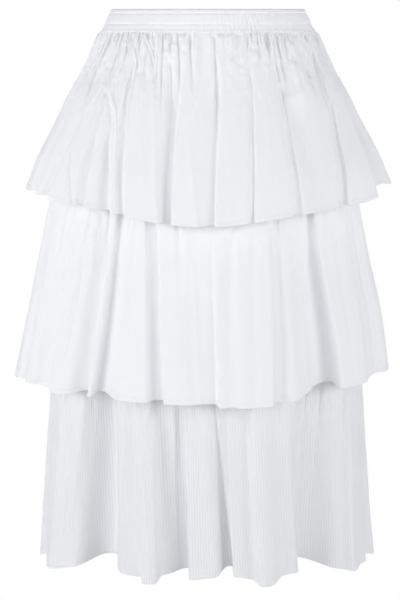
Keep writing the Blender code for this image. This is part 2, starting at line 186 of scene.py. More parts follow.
TIER_1 = Tier(
    seam=BAND_BOTTOM - GAP,
    hem=table(
        Hem, (-90, -220), (-70, -223), (-56, -229), (-35, -237), (-27, -243), (-17, -252),
        (0, -258), (12, -253), (22, -247), (35, -240), (50, -232), (64, -219), (90, -213),
        (115, -224), (145, -239), (180, -244), (215, -240), (245, -228), (270, -220)),
    sections=table(
        Section, (162, 162, 113, 121), (185.5, 185, 130, 140), (206, 205, 146, 158),
        (226.5, 227, 161, 174), (243, 243.5, 174, 187)),
    folds=table(
        Fold,
        (-76, -70, -7, 3, 2, 0, 1),
        (-64, -59.6, -9, 2.6, 1.2, 0, 2, 2, 2),
        (-45.4, -41.6, -7, 2.4, 1, 0, 1.5),
        (-34.8, -30.6, -6, 2.4, 1.4, 0, 1),
        (-31.6, -28.4, 5, 1.4, 1.2, 1, 1, -2, -2),
        (-28.8, -26.4, -4, 1.8, 1, 0, 1, -1.4, -1.4),
        (-13.6, -11.1, -13, 2.4, 0.8, 0.5, 3, 5, 7),
        (-1.4, 2, -7.5, 2.8, 0.8, 0, 2.5, 2.6, 3.6),
        (12.4, 14, -6, 1.6, 0.9, 0.5, 1),
        (26.6, 28.8, -6.5, 1.4, 0.9, 0.5, 1.5, -3, -3),
        (44.6, 46.8, -5, 1.8, 1.1, 0.5, 1, 1, 1),
        (51.4, 61, 11, 6, 2, 0, 1, -3, -4),
        (66, 80, -10, 3, 3, 0, 0),
        (100, 108, -10, 2.4, 3, 1, 0),
        (118, 122, -9, 1.4, 2.6, 2.5, 0),
        (133, 142, -15, 3.2, 2.6, 0, 1),
        (150, 153.5, -7, 1.6, 1.8, 1, 0),
        (164, 172, -13, 1.4, 3.4, 3, 0),
        (181, 186, -9, 2.4, 1.4, 0, 2),
        (195, 204.5, -15, 3.2, 3, 0, 0),
        (214, 218, -8, 1.4, 2, 2, 0),
        (229, 237, -12, 3, 2.2, 0, 1.5),
        (250, 257, -9, 2.4, 2.6, 1, 0)),
    lines=table(
        Line, (-90, -90), (-54, -57), (-46, -41), (-39, -28), (-25, -13), (-1, 1), (21.5, 13.5),
        (35, 27.5), (63, 44.5), (76, 60), (90, 90), (115, 120), (133, 138), (160, 167), (184, 183),
        (206, 200), (223, 216), (241, 234), (270, 270)),
    growth=0.8,
    lift=0.3,
)

TIER_2 = Tier(
    seam=HIP_SEAM,
    hem=table(
        Hem, (-90, -473), (-65, -472), (-47, -478.5), (-35, -476.5), (-25, -479), (-12, -480),
        (0, -484), (10, -486), (22, -483.5), (30, -478), (45, -469.5), (57, -468), (70, -465),
        (90, -461), (125, -472), (180, -480), (235, -476), (270, -473)),
    sections=table(
        Section, (212.5, 201.5, 146, 157), (229, 216.5, 162, 174), (244.5, 233.5, 178, 190),
        (260.5, 243.5, 193, 205)),
    folds=table(
        Fold,
        (-77, -70, -7, 3, 2.4, 0, 0),
        (-62, -53, -8, 3.6, 1.2, 0, 2),
        (-42.6, -37.7, -22, 5, 0.9, 0, 2, 8.4, 8),
        (-35.2, -30, -22, 1.4, 4.8, 3, 0, 8.3, 7),
        (-16.8, -12.8, -11, 1.8, 0.8, 0, 2.4),
        (-4, 3, -10, 4, 1.2, 0, 2),
        (5.5, 9, -3, 1.8, 1.8, 0, 0),
        (19.8, 24.6, -9, 1, 2.8, 2.5, 0, 1.6, 1.6),
        (30.2, 44.6, -12, 3.4, 1.2, 0, 1, -3, -5),
        (35.6, 44.6, -13, 4.4, 1.2, 0, 1, -3, -5),
        (61, 75, -9, 4, 3.4, 0, 0),
        (103, 113, -13, 2.6, 1.4, 0, 3),
        (124, 129, -9, 2.4, 1.4, 0, 2),
        (139, 154, -23, 3.4, 1, 1, 5),
        (165, 169, -9, 1.2, 2.2, 3, 0),
        (180, 192, -20, 1, 3.4, 5, 0),
        (203, 207, -8, 2, 1.2, 0, 2),
        (217, 229, -19, 2.4, 1.2, 0, 4),
        (241, 246, -8, 1.4, 2.4, 2, 0),
        (254, 260, -7, 2.4, 2.4, 0, 0)),
    lines=table(
        Line, (-90, -90), (-55, -51), (-36, -31), (-22, -15), (-1, 2), (25, 22), (36, 35), (57, 55),
        (90, 90), (121, 126), (152, 148), (184, 187), (226, 222), (270, 270)),
    growth=0.7,
    lift=0.3,
)

TIER_3 = Tier(
    seam=LOW_SEAM - GAP,
    hem=table(
        Hem, (-90, -722), (-75, -719), (-62, -721), (-50, -713), (-38, -712), (-20, -713),
        (-10, -715), (0, -711), (8, -709), (18, -717), (28, -709), (42, -719), (56, -717),
        (72, -718), (90, -720), (135, -716), (180, -713), (225, -715), (270, -722)),
    sections=table(
        Section, (211.5, 208, 156, 164), (218, 213.5, 162, 171), (223.5, 219.5, 167, 176),
        (229, 226.5, 172, 181)),
    folds=table(
        Fold,
        (-84, -70, -6, 2.4, 1.4, 0, 1),
        (-69, -60, 5, 2, 3, 1, 0),
        (-47, -34.4, -38, 4.6, 6, 0, 0, 6, 2),
        (-21.6, -16.2, 14, 1.2, 1.2, 2, 2, 0, 3.2),
        (-12.8, -6.5, -27, 6.8, 1, 0, 2, -3.8, 0),
        (5, 8.2, -24, 2.2, 0.9, 0, 3, 0.6, -3.6),
        (15.2, 22.6, 15, 2, 3.2, 0.5, 0.5),
        (33.4, 46, -38, 2.8, 7, 0.5, 0, -5.3, -4),
        (54, 61, 8, 2, 3, 0, 0),
        (72, 82, -8, 3, 2.6, 0, 0),
        (101, 114, -22, 2.6, 1.2, 0, 4),
        (121, 129, 9, 1.8, 1.8, 0.5, 0.5),
        (130.6, 146, -27, 1.4, 3.4, 3, 0),
        (157, 170, -27, 2.2, 1.4, 1, 3),
        (176, 183, 10, 1.4, 1.8, 2, 0),
        (184, 199, -29, 2.6, 1.5, 0, 4),
        (210, 224, -28, 1.1, 2.8, 6, 0),
        (226, 233, 9, 2, 1.6, 0, 1),
        (240, 255, -25, 1.4, 3, 5, 0)),
    lines=table(
        Line, (-90, -90), (-67, -65), (-43, -41), (-28, -19.5), (-8.5, -7), (2, 6), (16, 18.5),
        (37, 33), (58, 52), (90, 90), (121, 126), (150, 150), (179, 181), (213, 212), (236, 240),
        (270, 270)),
    growth=0.75,
    lift=0.4,
)

# Creases on the front of each tier, from left to right. The long gathers come first.
TIER_1_CREASES = creases(
    (-2.6, 2.4, 1.6, (-82, -0.05), (-82, 0.3), (-79, 0.8)),
    (-3.4, 2, 1.4, (-71, -0.05), (-66, 0.15), (-62, 0.36), (-59.5, 0.54)),
    (-2.6, 1.3, 1.5, (-59, -0.05), (-50, 0.1), (-46.5, 0.22)),
    (-2.2, 1.1, 1.2, (-44, -0.05), (-38.5, 0.08), (-36, 0.17)),
    (-2.4, 1.1, 1.3, (-36.2, -0.05), (-26.5, 0.15), (-23.6, 0.28)),
    (-3, 1.2, 1.4, (-27.5, -0.05), (-22, 0.06), (-18, 0.12), (-15, 0.3)),
    (-2.2, 0.9, 1.1, (-24.5, -0.05), (-19.6, 0.06), (-16.4, 0.12), (-14.2, 0.24)),
    (-3.4, 1.1, 1.7, (-13, -0.05), (-12.9, 0.27), (-12.3, 0.5)),
    (-2.6, 0.9, 1.1, (-10, -0.05), (-9.8, 0.14)),
    (-3.8, 1, 1.4, (-7.9, -0.05), (-7.4, 0.14), (-7, 0.34)),
    (-3.4, 1, 1.4, (-4.3, -0.05), (-3.7, 0.16), (-2.8, 0.36)),
    (-4, 0.9, 1.1, (-0.3, 0.05), (-0.2, 0.2)),
    (-2.6, 0.9, 1.1, (0.9, -0.05), (0.5, 0.18)),
    (-2.4, 0.9, 1, (4.3, -0.05), (4.3, 0.2)),
    (-2.6, 1, 1.1, (7.5, -0.05), (7, 0.18)),
    (-2.6, 1.6, 1.6, (10.6, -0.05), (10, 0.26)),
    (-3, 1, 1.2, (13.4, -0.05), (13.1, 0.15)),
    (-2.8, 1, 1.4, (18.4, -0.05), (17.2, 0.2)),
    (-4.2, 1.1, 1.6, (22.6, -0.05), (23.6, 0.05), (24.2, 0.17)),
    (-5.2, 1.6, 2, (28.6, -0.05), (28.8, 0.1), (29.8, 0.21), (29.2, 0.34)),
    (-3, 1, 1.2, (33, -0.05), (31.8, 0.12), (31.4, 0.22)),
    (-4.4, 1.8, 2.2, (37.2, -0.05), (38, 0.12), (40, 0.24), (41.2, 0.42)),
    (-4, 1.2, 1.4, (41.8, -0.05), (41.6, 0.1), (41.4, 0.2)),
    (-4, 1.3, 1.6, (43, -0.05), (44.6, 0.06), (47, 0.16)),
    (-4.2, 1.4, 1.8, (57, -0.05), (53.6, 0.12), (50.6, 0.28)),
    (-3.4, 1.4, 1.8, (64, -0.05), (60, 0.14), (58.6, 0.34)),
    (-3.2, 1.6, 2, (75, -0.05), (73, 0.14), (72, 0.5)),
    # Folds of cloth that run on below the gathers
    (-2.6, 5, 2.4, (-55.6, 0.4), (-57.5, 0.55), (-60.6, 0.73), (-62, 1), (-62.5, 1.4)),
    (2.2, 1.6, 2.4, (-53.5, 0.36), (-56, 0.46), (-57, 0.56)),
    (1, 3, 3, (-48.5, 0.3), (-52, 0.325), (-56, 0.4)),
    (1.6, 3.4, 2, (-48.5, 0.292), (-44, 0.3), (-40, 0.33), (-36.2, 0.39), (-33, 0.45), (-31, 0.53),
     (-29.6, 0.75), (-28.6, 1), (-28, 1.6)),
    (-1.8, 4, 3, (-51.5, 0.34), (-46.5, 0.345), (-41.5, 0.385), (-38, 0.44), (-35.4, 0.52),
     (-33.6, 0.68)),
    (-2, 8, 2.4, (-28.2, 0.08), (-27.9, 0.33), (-27.2, 0.5), (-26.9, 0.73), (-26.5, 1), (-26.2, 1.6)),
    (-4, 10, 3, (-36.5, 0.5), (-33.2, 0.8), (-31.6, 1.5)),
    (-2.4, 4.5, 2, (-44.4, 0.56), (-43, 0.72), (-41.8, 1), (-41.4, 1.4)),
    (-2.6, 3, 2, (-56, 0.68), (-52, 0.8), (-46.6, 0.97), (-44, 1.2)),
    (-1.3, 3.4, 3.4, (-26.6, 0.235), (-22.5, 0.216), (-19, 0.196)),
    (-2.6, 12, 2.2, (-7.2, 0.2), (-7.9, 0.4), (-9.3, 0.6), (-10.6, 0.8), (-11.8, 1), (-13, 1.6)),
    (1.8, 4, 3, (-15.8, 0.26), (-14.6, 0.5), (-15.6, 1), (-16, 1.5)),
    (-2.4, 1.8, 1.8, (-6.4, 0.075), (-5.4, 0.12)),
    (-1.4, 9, 2, (4.6, 0.17), (3.6, 0.38), (2.3, 0.61), (1.3, 1), (0.9, 1.6)),
    (1.2, 5, 4, (-4.4, 0.5), (-3.6, 0.8), (-3.2, 1.5)),
    (-1.6, 3, 1.6, (13.3, 0.08), (13.9, 0.2), (13.5, 0.45), (13.1, 0.62), (13.3, 0.85), (13.5, 1.6)),
    (-1.4, 2.4, 2, (12.2, 0.3), (9.8, 0.44), (11.6, 0.56)),
    (2.4, 3, 1.2, (26.6, 0.34), (26.3, 0.5), (26.2, 0.7), (26.9, 0.88), (27.6, 1), (28.4, 1.6)),
    (-2.4, 3.4, 3.4, (27.4, 0.36), (27.6, 0.5), (27.9, 0.7), (28.8, 0.88), (29.4, 1), (30.4, 1.6)),
    (-2.6, 5, 5, (26.6, 0.27), (28.2, 0.31), (30, 0.37)),
    (2.8, 4, 3.4, (32.8, 0), (35, 0.16), (37.4, 0.32), (39, 0.5)),
    (-2.4, 4, 4, (39, 0.19), (40.6, 0.27)),
    (-5.6, 12, 16, (29.5, 0.3), (32.5, 0.6), (36, 0.85), (37.5, 1.5)),
    (-2.6, 7, 2.4, (50.4, 0.21), (48.2, 0.4), (46.8, 0.58), (46.4, 0.8), (46.6, 1), (47.2, 1.6)),
    (1.8, 4, 4, (47.6, 0.4), (44, 0.56), (42.6, 0.8), (42.4, 1.5)),
    (2.4, 12, 6, (54, 0.12), (58.4, 0.4), (60.8, 0.68), (61.6, 1), (62, 1.6)),
    # Hollows and swells between the gathers
    (-3, 5, 3, (-62.6, 0.14), (-62.2, 0.3), (-62, 0.5)),
    (-3.6, 4, 1.6, (-9.6, 0.13), (-9.3, 0.3), (-8.8, 0.46)),
    (-2.2, 2, 1.2, (3.4, 0.12), (3.6, 0.3), (3.4, 0.46)),
    (-4, 7, 4, (29.6, 0.13), (29.2, 0.3), (28.2, 0.46)),
    (4, 6, 4, (33.8, 0.14), (34.4, 0.32), (34.6, 0.5)),
    (-6.5, 4.5, 3.6, (46.6, 0.09), (46, 0.3), (45.6, 0.46)))

TIER_2_CREASES = creases(
    (-5, 8, 4, (-54, 0.08), (-56, 0.42), (-58.7, 0.745), (-62, 1), (-64, 1.5)),
    (3, 6, 3, (-42, 0.08), (-43.7, 0.42), (-46.4, 0.745), (-50.5, 1), (-53, 1.5)),
    (-1.8, 7, 4, (-21, 0.2), (-22.6, 0.55), (-23, 0.9)),
    (-2.4, 8, 1.8, (-13.4, 0.08), (-13.2, 0.5), (-12.9, 1), (-12.7, 1.6)),
    (1.5, 4, 3, (-17.4, 0.15), (-17.6, 0.6), (-17.6, 1.5)),
    (-1.4, 5, 5, (-7, 0.18), (-6, 0.72)),
    (1.6, 5, 5, (-2.6, 0.4), (-2, 1.4)),
    (-2.6, 3.4, 3.6, (10.6, 0.12), (9.2, 0.3), (7.2, 0.58), (6.6, 0.9)),
    (-1.4, 6, 6, (16, 0.24), (14.2, 0.7), (13.6, 1.3)),
    (2, 4, 1, (21.8, 0.08), (20.8, 0.5), (19.8, 1), (19.4, 1.6)),
    (-1, 7, 4, (24, 0.08), (23.8, 0.5), (23.6, 1), (23.4, 1.6)),
    (-6, 24, 3, (40.9, 0.3), (41.4, 0.5), (42.5, 0.745), (44, 1), (45.1, 1.6)),
    (-1.6, 5, 6, (52.6, 0.2), (51, 0.6), (51.6, 1.3)),
    (-2.4, 7, 5, (72, 0.1), (71, 0.6), (71, 1.4)))

TIER_3_CREASES = creases(
    (-2.6, 5, 2, (-72, 0.1), (-71, 0.6), (-71.5, 1.4)),
    (2.8, 5, 2.2, (-64.4, 0.1), (-63.2, 0.5), (-63.2, 1.5)),
    (-1.8, 7, 5, (-56, 0.2), (-57.2, 0.6), (-57, 1.4)),
    (6, 20, 7, (-46, 0.12), (-48.7, 0.5), (-52.4, 0.75), (-58, 1), (-60, 1.3)),
    (-9, 12, 18, (-37.2, 0.1), (-37.6, 0.36), (-38.6, 0.72), (-40, 1), (-41, 1.5)),
    (-1.6, 4, 4, (-36, 0.2), (-38, 0.6), (-38, 1.2)),
    (1.6, 6, 4, (-30, 0.26), (-29.4, 0.7), (-29.4, 1.4)),
    (2.8, 2.6, 2, (-24.4, 0.1), (-23, 0.27), (-18.9, 0.39)),
    (2.8, 2, 2.6, (-14.4, 0.12), (-15.5, 0.27), (-18.6, 0.39)),
    (-3.4, 3, 3, (-18.4, 0.12), (-18.8, 0.32)),
    (1.4, 2.6, 1.6, (-18.8, 0.37), (-18.4, 0.7), (-18.5, 1.5)),
    (-4, 5, 6, (-14.4, 0.1), (-13.8, 0.4), (-13.2, 0.9)),
    (1.8, 3, 2, (-10, 0.24), (-10.4, 0.6), (-10.6, 1.3)),
    (-2, 14, 2, (-7.2, 0.08), (-7.3, 0.5), (-7.5, 1), (-7.6, 1.6)),
    (-2.4, 6, 6, (3, 0.24), (4, 0.6), (4.6, 1.4)),
    (-4, 20, 5, (14.4, 0.1), (14.6, 0.6), (14.4, 1.5)),
    (1.2, 4, 2, (26.2, 0.1), (28, 0.5), (30.2, 1), (30.6, 1.5)),
    (-4.5, 8, 12, (37, 0.3), (35.6, 0.72), (35, 1), (34.6, 1.5)),
    (6, 12, 4, (56.4, 0.1), (55.6, 0.5), (55.2, 1), (55, 1.5)),
    (-3, 5, 4, (62, 0.2), (61, 0.6), (60.6, 1.4)),
    (-3, 5, 3, (74, 0.12), (73, 0.6), (73, 1.4)))

# Random gathers: many short ones at the seam, fewer long ones that go on below
TIER_1_COMBS = (
    Comb(pitch=2.0, start=-0.04, length=0.14, depth=3.0, width=0.85, slant=0.8, clear=0.4, seed=21),
    Comb(pitch=5.2, start=-0.04, length=0.48, depth=3.0, width=1.3, slant=2.0, clear=1.0, seed=31),
    Comb(pitch=9.0, start=0.06, length=0.60, depth=3.0, width=2.6, slant=3.0, clear=2.4, seed=41),
)
TIER_COMBS = (
    Comb(pitch=3.0, start=-0.04, length=0.15, depth=1.7, width=1.1, slant=0.8, clear=0.0, seed=22),
    Comb(pitch=7.0, start=-0.04, length=0.45, depth=2.2, width=2.0, slant=2.0, clear=0.0, seed=32),
)

# The waistband's folded casing, from the turned lower edge of its outer face, over the top fold
# and down to the turned lower edge of its inner face
BAND_ROWS = table(
    BandRow, (26, -0.9), (28.4, -0.9), (29.4, -0.7), (29.7, -0.1), (29.3, 0.45), (28.4, 0.7),
    (27.3, 0.5), (26, 0.05), (24, -0.1), (21.6, -0.1), (20.3, -0.45), (19.5, -0.8), (18.7, -0.4),
    (17.4, 0.1), (15.4, 0.35), (12.6, 0.45), (9.6, 0.35), (7.4, 0.1), (6.2, -0.3), (5.4, -0.7),
    (4.6, -0.35), (3.2, -0.1), (1.6, -0.25), (0.5, -0.7), (0, -1.3), (0.5, -1.9), (1.6, -2.3),
    (4.6, -2.3), (5.4, -2.1), (6.2, -2.3), (9.6, -2.9), (12.6, -3), (15.4, -2.9), (18.7, -2.4),
    (19.5, -2.1), (20.3, -2.3), (24, -2.5), (28.4, -2.6), (29.4, -2.5), (29.7, -2.2), (29.2, -1.9),
    (26, -1.9))


# --- Shape of the cloth ---
def smooth(share):
    """An ease from 0 to 1 with level ends."""
    share = np.clip(share, 0.0, 1.0)
    return share * share * (3.0 - 2.0 * share)


def along(values, share):
    """A soft curve through evenly spaced values, read at a share of its length."""
    values = np.asarray(values, dtype=float)
    padded = np.concatenate(([2 * values[0] - values[1]], values, [2 * values[-1] - values[-2]]))
    place = np.clip(share, 0.0, 1.0) * (len(values) - 1)
    step = np.minimum(place.astype(int), len(values) - 2)
    t = place - step
    before, start, end, after = (padded[step + k] for k in range(4))
    return 0.5 * (2 * start + (end - before) * t
                  + (2 * before - 5 * start + 4 * end - after) * t ** 2
                  + (3 * start - before - 3 * end + after) * t ** 3)


def oval(sections, angle, share):
    """Points of the cross sections, and the ways out of them and round them."""
    sin, cos = np.sin(np.radians(angle)), np.cos(np.radians(angle))
    left, right, front, back = (along([getattr(s, side) for s in sections], share)
                                for side in Section._fields)
    wide = np.where(sin < 0, left, right)
    deep = np.where(cos < 0, back, front)
    length = np.hypot(deep * sin, wide * cos)
    out = np.stack([deep * sin / length, -wide * cos / length])
    around = np.stack([-out[1], out[0]])
    return np.stack([wide * sin, -deep * cos]), out, around


def turned(angle):
    """The same angle, between -180 and 180."""
    return (angle + FULL_TURN / 2) % FULL_TURN - FULL_TURN / 2


def folded(folds, angle, share):
    """How far the folds move the cloth out, and how far round, where they are full."""
    outward = np.zeros_like(angle)
    sideways = np.zeros_like(angle)
    for fold in folds:
        from_left = turned(angle - fold.left_drift * (1.0 - share) - fold.left)
        from_right = turned(angle - fold.right_drift * (1.0 - share) - fold.right)
        middle = np.abs(from_left) < FULL_TURN / 4
        outward += middle * fold.depth * 0.5 * (np.tanh(1.5 * from_left / fold.left_soft)
                                                - np.tanh(1.5 * from_right / fold.right_soft))
        for away, soft, lap in ((from_left, fold.left_soft, fold.left_lap),
                                (from_right, fold.right_soft, fold.right_lap)):
            reach = away / soft
            sideways -= lap * reach * np.exp(0.5 * (1.0 - reach ** 2))
    return outward, sideways


def read_round(places, values, angle):
    """Values at some angles round the skirt, read at any angle as the mean of five near it."""
    near = [np.interp((angle + step - places[0]) % FULL_TURN + places[0], places, values)
            for step in (-4.0, -2.0, 0.0, 2.0, 4.0)]
    return np.mean(near, axis=0)


def seam_angle(lines, angle):
    """The angle at the seam of the line of cloth that is at this angle at the hem."""
    drifts = [line.seam - line.hem for line in lines]
    return angle + read_round([line.hem for line in lines], drifts, angle)


def uneven(angle, first, second, third):
    """A slow, repeatable unevenness between about -1 and 1 round the skirt."""
    turn = np.radians(angle)
    return (np.sin(first * turn + 0.7) + np.sin(second * turn + 2.1)
            + np.sin(third * turn + 4.0)) / 3.0


def gathered(tier, angle, share):
    """How far the main gathers below a seam stand out, with uneven depths and lengths."""
    seam = seam_angle(tier.lines, angle)
    # Slow waves of different counts make each gather's length, depth and place uneven
    reach = GATHER_LENGTH * (1.0 + 0.45 * uneven(angle, 11, 17, 29))
    fade = smooth(share / GATHER_START) * (1.0 - smooth(share / reach))
    span = 2 * SIDE / MAIN_GATHERS
    size = GATHER_DEPTH * span * (0.85 + 0.3 * uneven(angle, 13, 23, 31))
    return size * fade * np.cos(2 * np.pi * (seam / span + 0.4 * uneven(angle, 7, 12, 19)))


def tier_surface(tier, sewn_to, tucked):
    """The outer surface of a tier, as a function of the angle at the hem and the share of height."""
    sections = (sewn_to,) + tier.sections

    def surface(angle, share):
        turn = seam_angle(tier.lines, angle) * (1.0 - share) + angle * share
        point, out, around = oval(sections, turn, share)
        outward, sideways = folded(tier.folds, angle, share)
        grown = smooth(share / FOLD_START) * np.maximum(share, 0.0) ** tier.growth
        outward = outward * grown
        sideways = sideways * grown
        drop = read_round([row.angle for row in tier.hem], [row.height for row in tier.hem],
                          angle) - tier.seam
        height = tier.seam + drop * share - tier.lift * outward * share
        if tucked:
            outward = outward + gathered(tier, angle, share)
        flat = point + out * outward + around * sideways
        return np.stack([flat[0], flat[1], height])

    return surface


def base_surface(angle, share):
    """The outer surface of the plain base."""
    point, _, _ = oval(BASE_SECTIONS, angle, share)
    height = BAND_BOTTOM - GAP + (LOW_SEAM - BAND_BOTTOM + GAP) * share
    return np.stack([point[0], point[1], height])


def base_section(height, outside):
    """The base's cross section at a height, moved outside it."""
    share = (BAND_BOTTOM - height) / (BAND_BOTTOM - LOW_SEAM)
    return Section(*(float(along([getattr(s, side) for s in BASE_SECTIONS], np.array(share)))
                     + outside for side in Section._fields))


# --- Relief: what stands out of the cloth's main shape, in millimetres ---
def soft_noise(angle, share, cells, rows, seed):
    """Smooth, repeatable noise from about -1 to 1, with so many cells round and down the cloth."""
    values = np.random.default_rng(seed).normal(0.0, 0.6, (rows + 2, cells))
    across = (angle + SIDE) % FULL_TURN / FULL_TURN * cells
    down = np.clip(share, 0.0, 1.0) * rows
    left, top = np.floor(across).astype(int), np.floor(down).astype(int)
    blend, sink = smooth(across - left), smooth(down - top)
    corners = [values[top + row, (left + column) % cells] for row in (0, 1) for column in (0, 1)]
    upper = corners[0] * (1.0 - blend) + corners[1] * blend
    lower = corners[2] * (1.0 - blend) + corners[3] * blend
    return upper * (1.0 - sink) + lower * sink


def crease_line(path):
    """Evenly shared points along a crease, as soft as cloth: its angles and its shares."""
    places = np.array(path)
    degree_width, tier_height = 3.0, 250.0
    steps = np.hypot(np.diff(places[:, 0]) * degree_width, np.diff(places[:, 1]) * tier_height)
    run = np.concatenate(([0.0], np.cumsum(steps))) / steps.sum()
    at = np.linspace(0.0, 1.0, CREASE_POINTS)
    reach = 0.10 if len(path) > 2 else 0.0
    near = [np.clip(at + step * reach, 0.0, 1.0) for step in (-1.0, -0.5, 0.0, 0.5, 1.0)]
    return at, *(np.mean([np.interp(place, run, places[:, k]) for place in near], axis=0)
                 for k in (0, 1))


def creased(lines, angles, shares, length, degree):
    """The relief of some creases at each row's share and column's angle.

    Length is the cloth's height and degree the width of one degree at each row, in millimetres.
    """
    relief = np.zeros((len(shares), len(angles)))
    for crease in lines:
        at, line_angle, line_share = crease_line(crease.path)
        widest = CREASE_REACH * max(crease.left, crease.right)
        rows = np.flatnonzero((shares > line_share.min() - widest / length)
                              & (shares < line_share.max() + widest / length))
        middle = (line_angle.min() + line_angle.max()) / 2
        spread = (line_angle.max() - line_angle.min()) / 2 + widest / degree.min()
        columns = np.flatnonzero(np.abs(turned(angles - middle)) < spread)
        if len(rows) == 0 or len(columns) == 0:
            continue
        x = (turned(angles[columns] - middle)[None] * degree[rows, None])[..., None]
        y = (shares[rows, None] * length)[..., None]
        line_x = (line_angle - middle) * degree[rows, None, None]
        line_y = line_share * length
        step_x, step_y = np.diff(line_x, axis=-1), np.diff(line_y)
        from_x, from_y = x - line_x[..., :-1], y - line_y[:-1]
        squared = step_x ** 2 + step_y ** 2
        part = np.clip((from_x * step_x + from_y * step_y) / squared, 0.0, 1.0)
        away_x, away_y = from_x - part * step_x, from_y - part * step_y
        away = np.hypot(away_x, away_y)
        nearest = np.argmin(away, axis=-1)[..., None]
        side = np.take_along_axis(away_x * step_y - away_y * step_x, nearest, -1)[..., 0]
        away = np.take_along_axis(away, nearest, -1)[..., 0]
        t = (np.take_along_axis(part, nearest, -1)[..., 0] + nearest[..., 0]) * at[1]
        # Along its line a crease widens, starts in the first seventh and fades in the second half
        width = np.where(side < 0, crease.left, crease.right) * (0.7 + 0.5 * t)
        held = smooth(t / 0.14) * (1.0 - smooth((t - 0.5) / 0.5))
        relief[np.ix_(rows, columns)] += crease.height * held * np.exp(-(away / width) ** 1.4)
    return relief


def mirrored(placed, shift):
    """The same creases on the hidden side, seen in a mirror and moved round a little."""
    return tuple(Crease(crease.height, crease.right, crease.left,
                        tuple((2 * SIDE - angle + shift, share) for angle, share in crease.path))
                 for crease in placed)


def gather_comb(tier, comb, kept_clear):
    """Creases below a seam, as uneven in place, length, depth and slant as drawn-up cloth."""
    random = np.random.default_rng(comb.seed)
    hems = np.linspace(-SIDE, 3 * SIDE, FINE_ANGLES)
    seams = seam_angle(tier.lines, hems)
    drawn, place = [], -SIDE + 1.5
    while place < 3 * SIDE - 1.5:
        strong, reach, slant, drift = random.random(4)
        hem = float(np.interp(place, seams, hems))
        scale = float(np.interp(place + 1.0, seams, hems)) - hem
        if all(abs(hem - angle) > comb.clear for angle in kept_clear):
            end = comb.start + comb.length * (0.45 + 1.1 * reach ** 2.0)
            middle = (comb.start + end) / 2
            lean = (slant - 0.5) * comb.slant * scale
            path = ((hem, comb.start), (hem + 0.4 * lean, middle),
                    (hem + lean * (0.6 + 0.8 * drift), end))
            drawn.append(Crease(-comb.depth * (0.5 + 0.75 * strong), comb.width,
                                comb.width * (0.9 + 0.5 * drift), path))
        place += comb.pitch * (0.6 + 0.8 * random.random())
    return tuple(drawn)


def combed(tier, combs, placed):
    """The gathers of all the combs, which keep clear of the listed creases."""
    clear = [crease.path[0][0] for crease in placed if crease.path[0][1] < 0.0]
    return sum((gather_comb(tier, comb, clear) for comb in combs), ())


def ends(angle):
    """1 over the cloth and 0 at the side seams, where the two halves meet."""
    return smooth((SIDE - np.abs(turned(angle) % (2 * SIDE) - SIDE)) * SEAM_RISE)


def hem_relief(length, share):
    """The turned hem stands out a little, and its stitching draws the cloth in."""
    above = (1.0 - share) * length
    turned_up = HEM_PUFF * (1.0 - smooth((above - HEM_STITCH) / HEM_STEP))
    return turned_up - HEM_GROOVE * np.exp(-((above - HEM_STITCH) / GROOVE_WIDTH) ** 2)


def crumple(angle, share, length, depth):
    """Crisp small wrinkles, strongest below the gathers, over a slow unevenness of the cloth."""
    # Broad swells, sharp-edged wrinkles and a fine grain, each with its cells round and down
    slow = soft_noise(angle, share, 96, 5, 3) + 0.5 * soft_noise(angle, share, 190, 11, 4)
    crisp = 1.0 - 2.0 * np.abs(soft_noise(angle, share, 300, int(length / 9), 5))
    fine = soft_noise(angle, share, 520, int(length / 6), 6)
    near = 1.0 - smooth((share - 0.05) / 0.60)
    return depth * ((0.45 + 0.5 * near) * slow + (0.12 + 0.60 * near) * crisp
                    + 0.14 * fine * (0.4 + near))


def tier_relief(lines, length, degree, depth):
    """The relief of a gathered tier. Degree is the width of a degree at its seam and hem."""

    def relief(angle, share):
        widths = degree[0] + (degree[1] - degree[0]) * share[:, 0]
        puff = GATHER_PUFF * (1.0 - smooth((share - 0.02) / 0.25))
        shaped = creased(lines, angle[0], share[:, 0], length, widths)
        small = crumple(angle, share, length, depth) * smooth(share / 0.02)
        tucked = 1.0 - smooth(share * length / TUCK + 1.0)
        return ((shaped + small + puff) * (1.0 - tucked) * ends(angle) - TUCK_DEPTH * tucked
                + hem_relief(length, share))

    return relief


def base_relief(angle, share):
    """The plain base is nearly smooth, and lies clear of the gathers at the waist."""
    return (0.5 * soft_noise(angle, share, 60, 9, 8) * ends(angle) - 1.0
            - 2.4 * (1.0 - smooth((share - 0.04) / 0.16)))


# --- Meshes ---
def unit(vectors):
    """The same directions with a length of one."""
    return vectors / np.maximum(np.linalg.norm(vectors, axis=-1, keepdims=True), 1e-12)


def way_out(points):
    """The direction out of the cloth at each point of a grid."""
    down, across = np.gradient(points, axis=0), np.gradient(points, axis=1)
    return unit(np.cross(down, across))


def column_angles(tier, half, count):
    """Angles of the lines of points: even in length at seam and hem, and closer at fold edges."""
    start, end = HALVES[half]
    angle = np.linspace(start, end, FINE_ANGLES)
    density = 0.4 + 0.6 * np.gradient(seam_angle(tier.lines, angle), angle)
    edges = [(fold.left, fold.left_soft) for fold in tier.folds]
    edges += [(fold.right, fold.right_soft) for fold in tier.folds]
    for edge, soft in edges:
        density += 0.5 * CROWDING * np.exp(-(turned(angle - edge) / (1.5 * soft)) ** 2)
    counted = np.concatenate(([0.0], np.cumsum((density[1:] + density[:-1]) / 2)))
    return np.interp(np.linspace(0.0, counted[-1], count + 1), counted, angle)


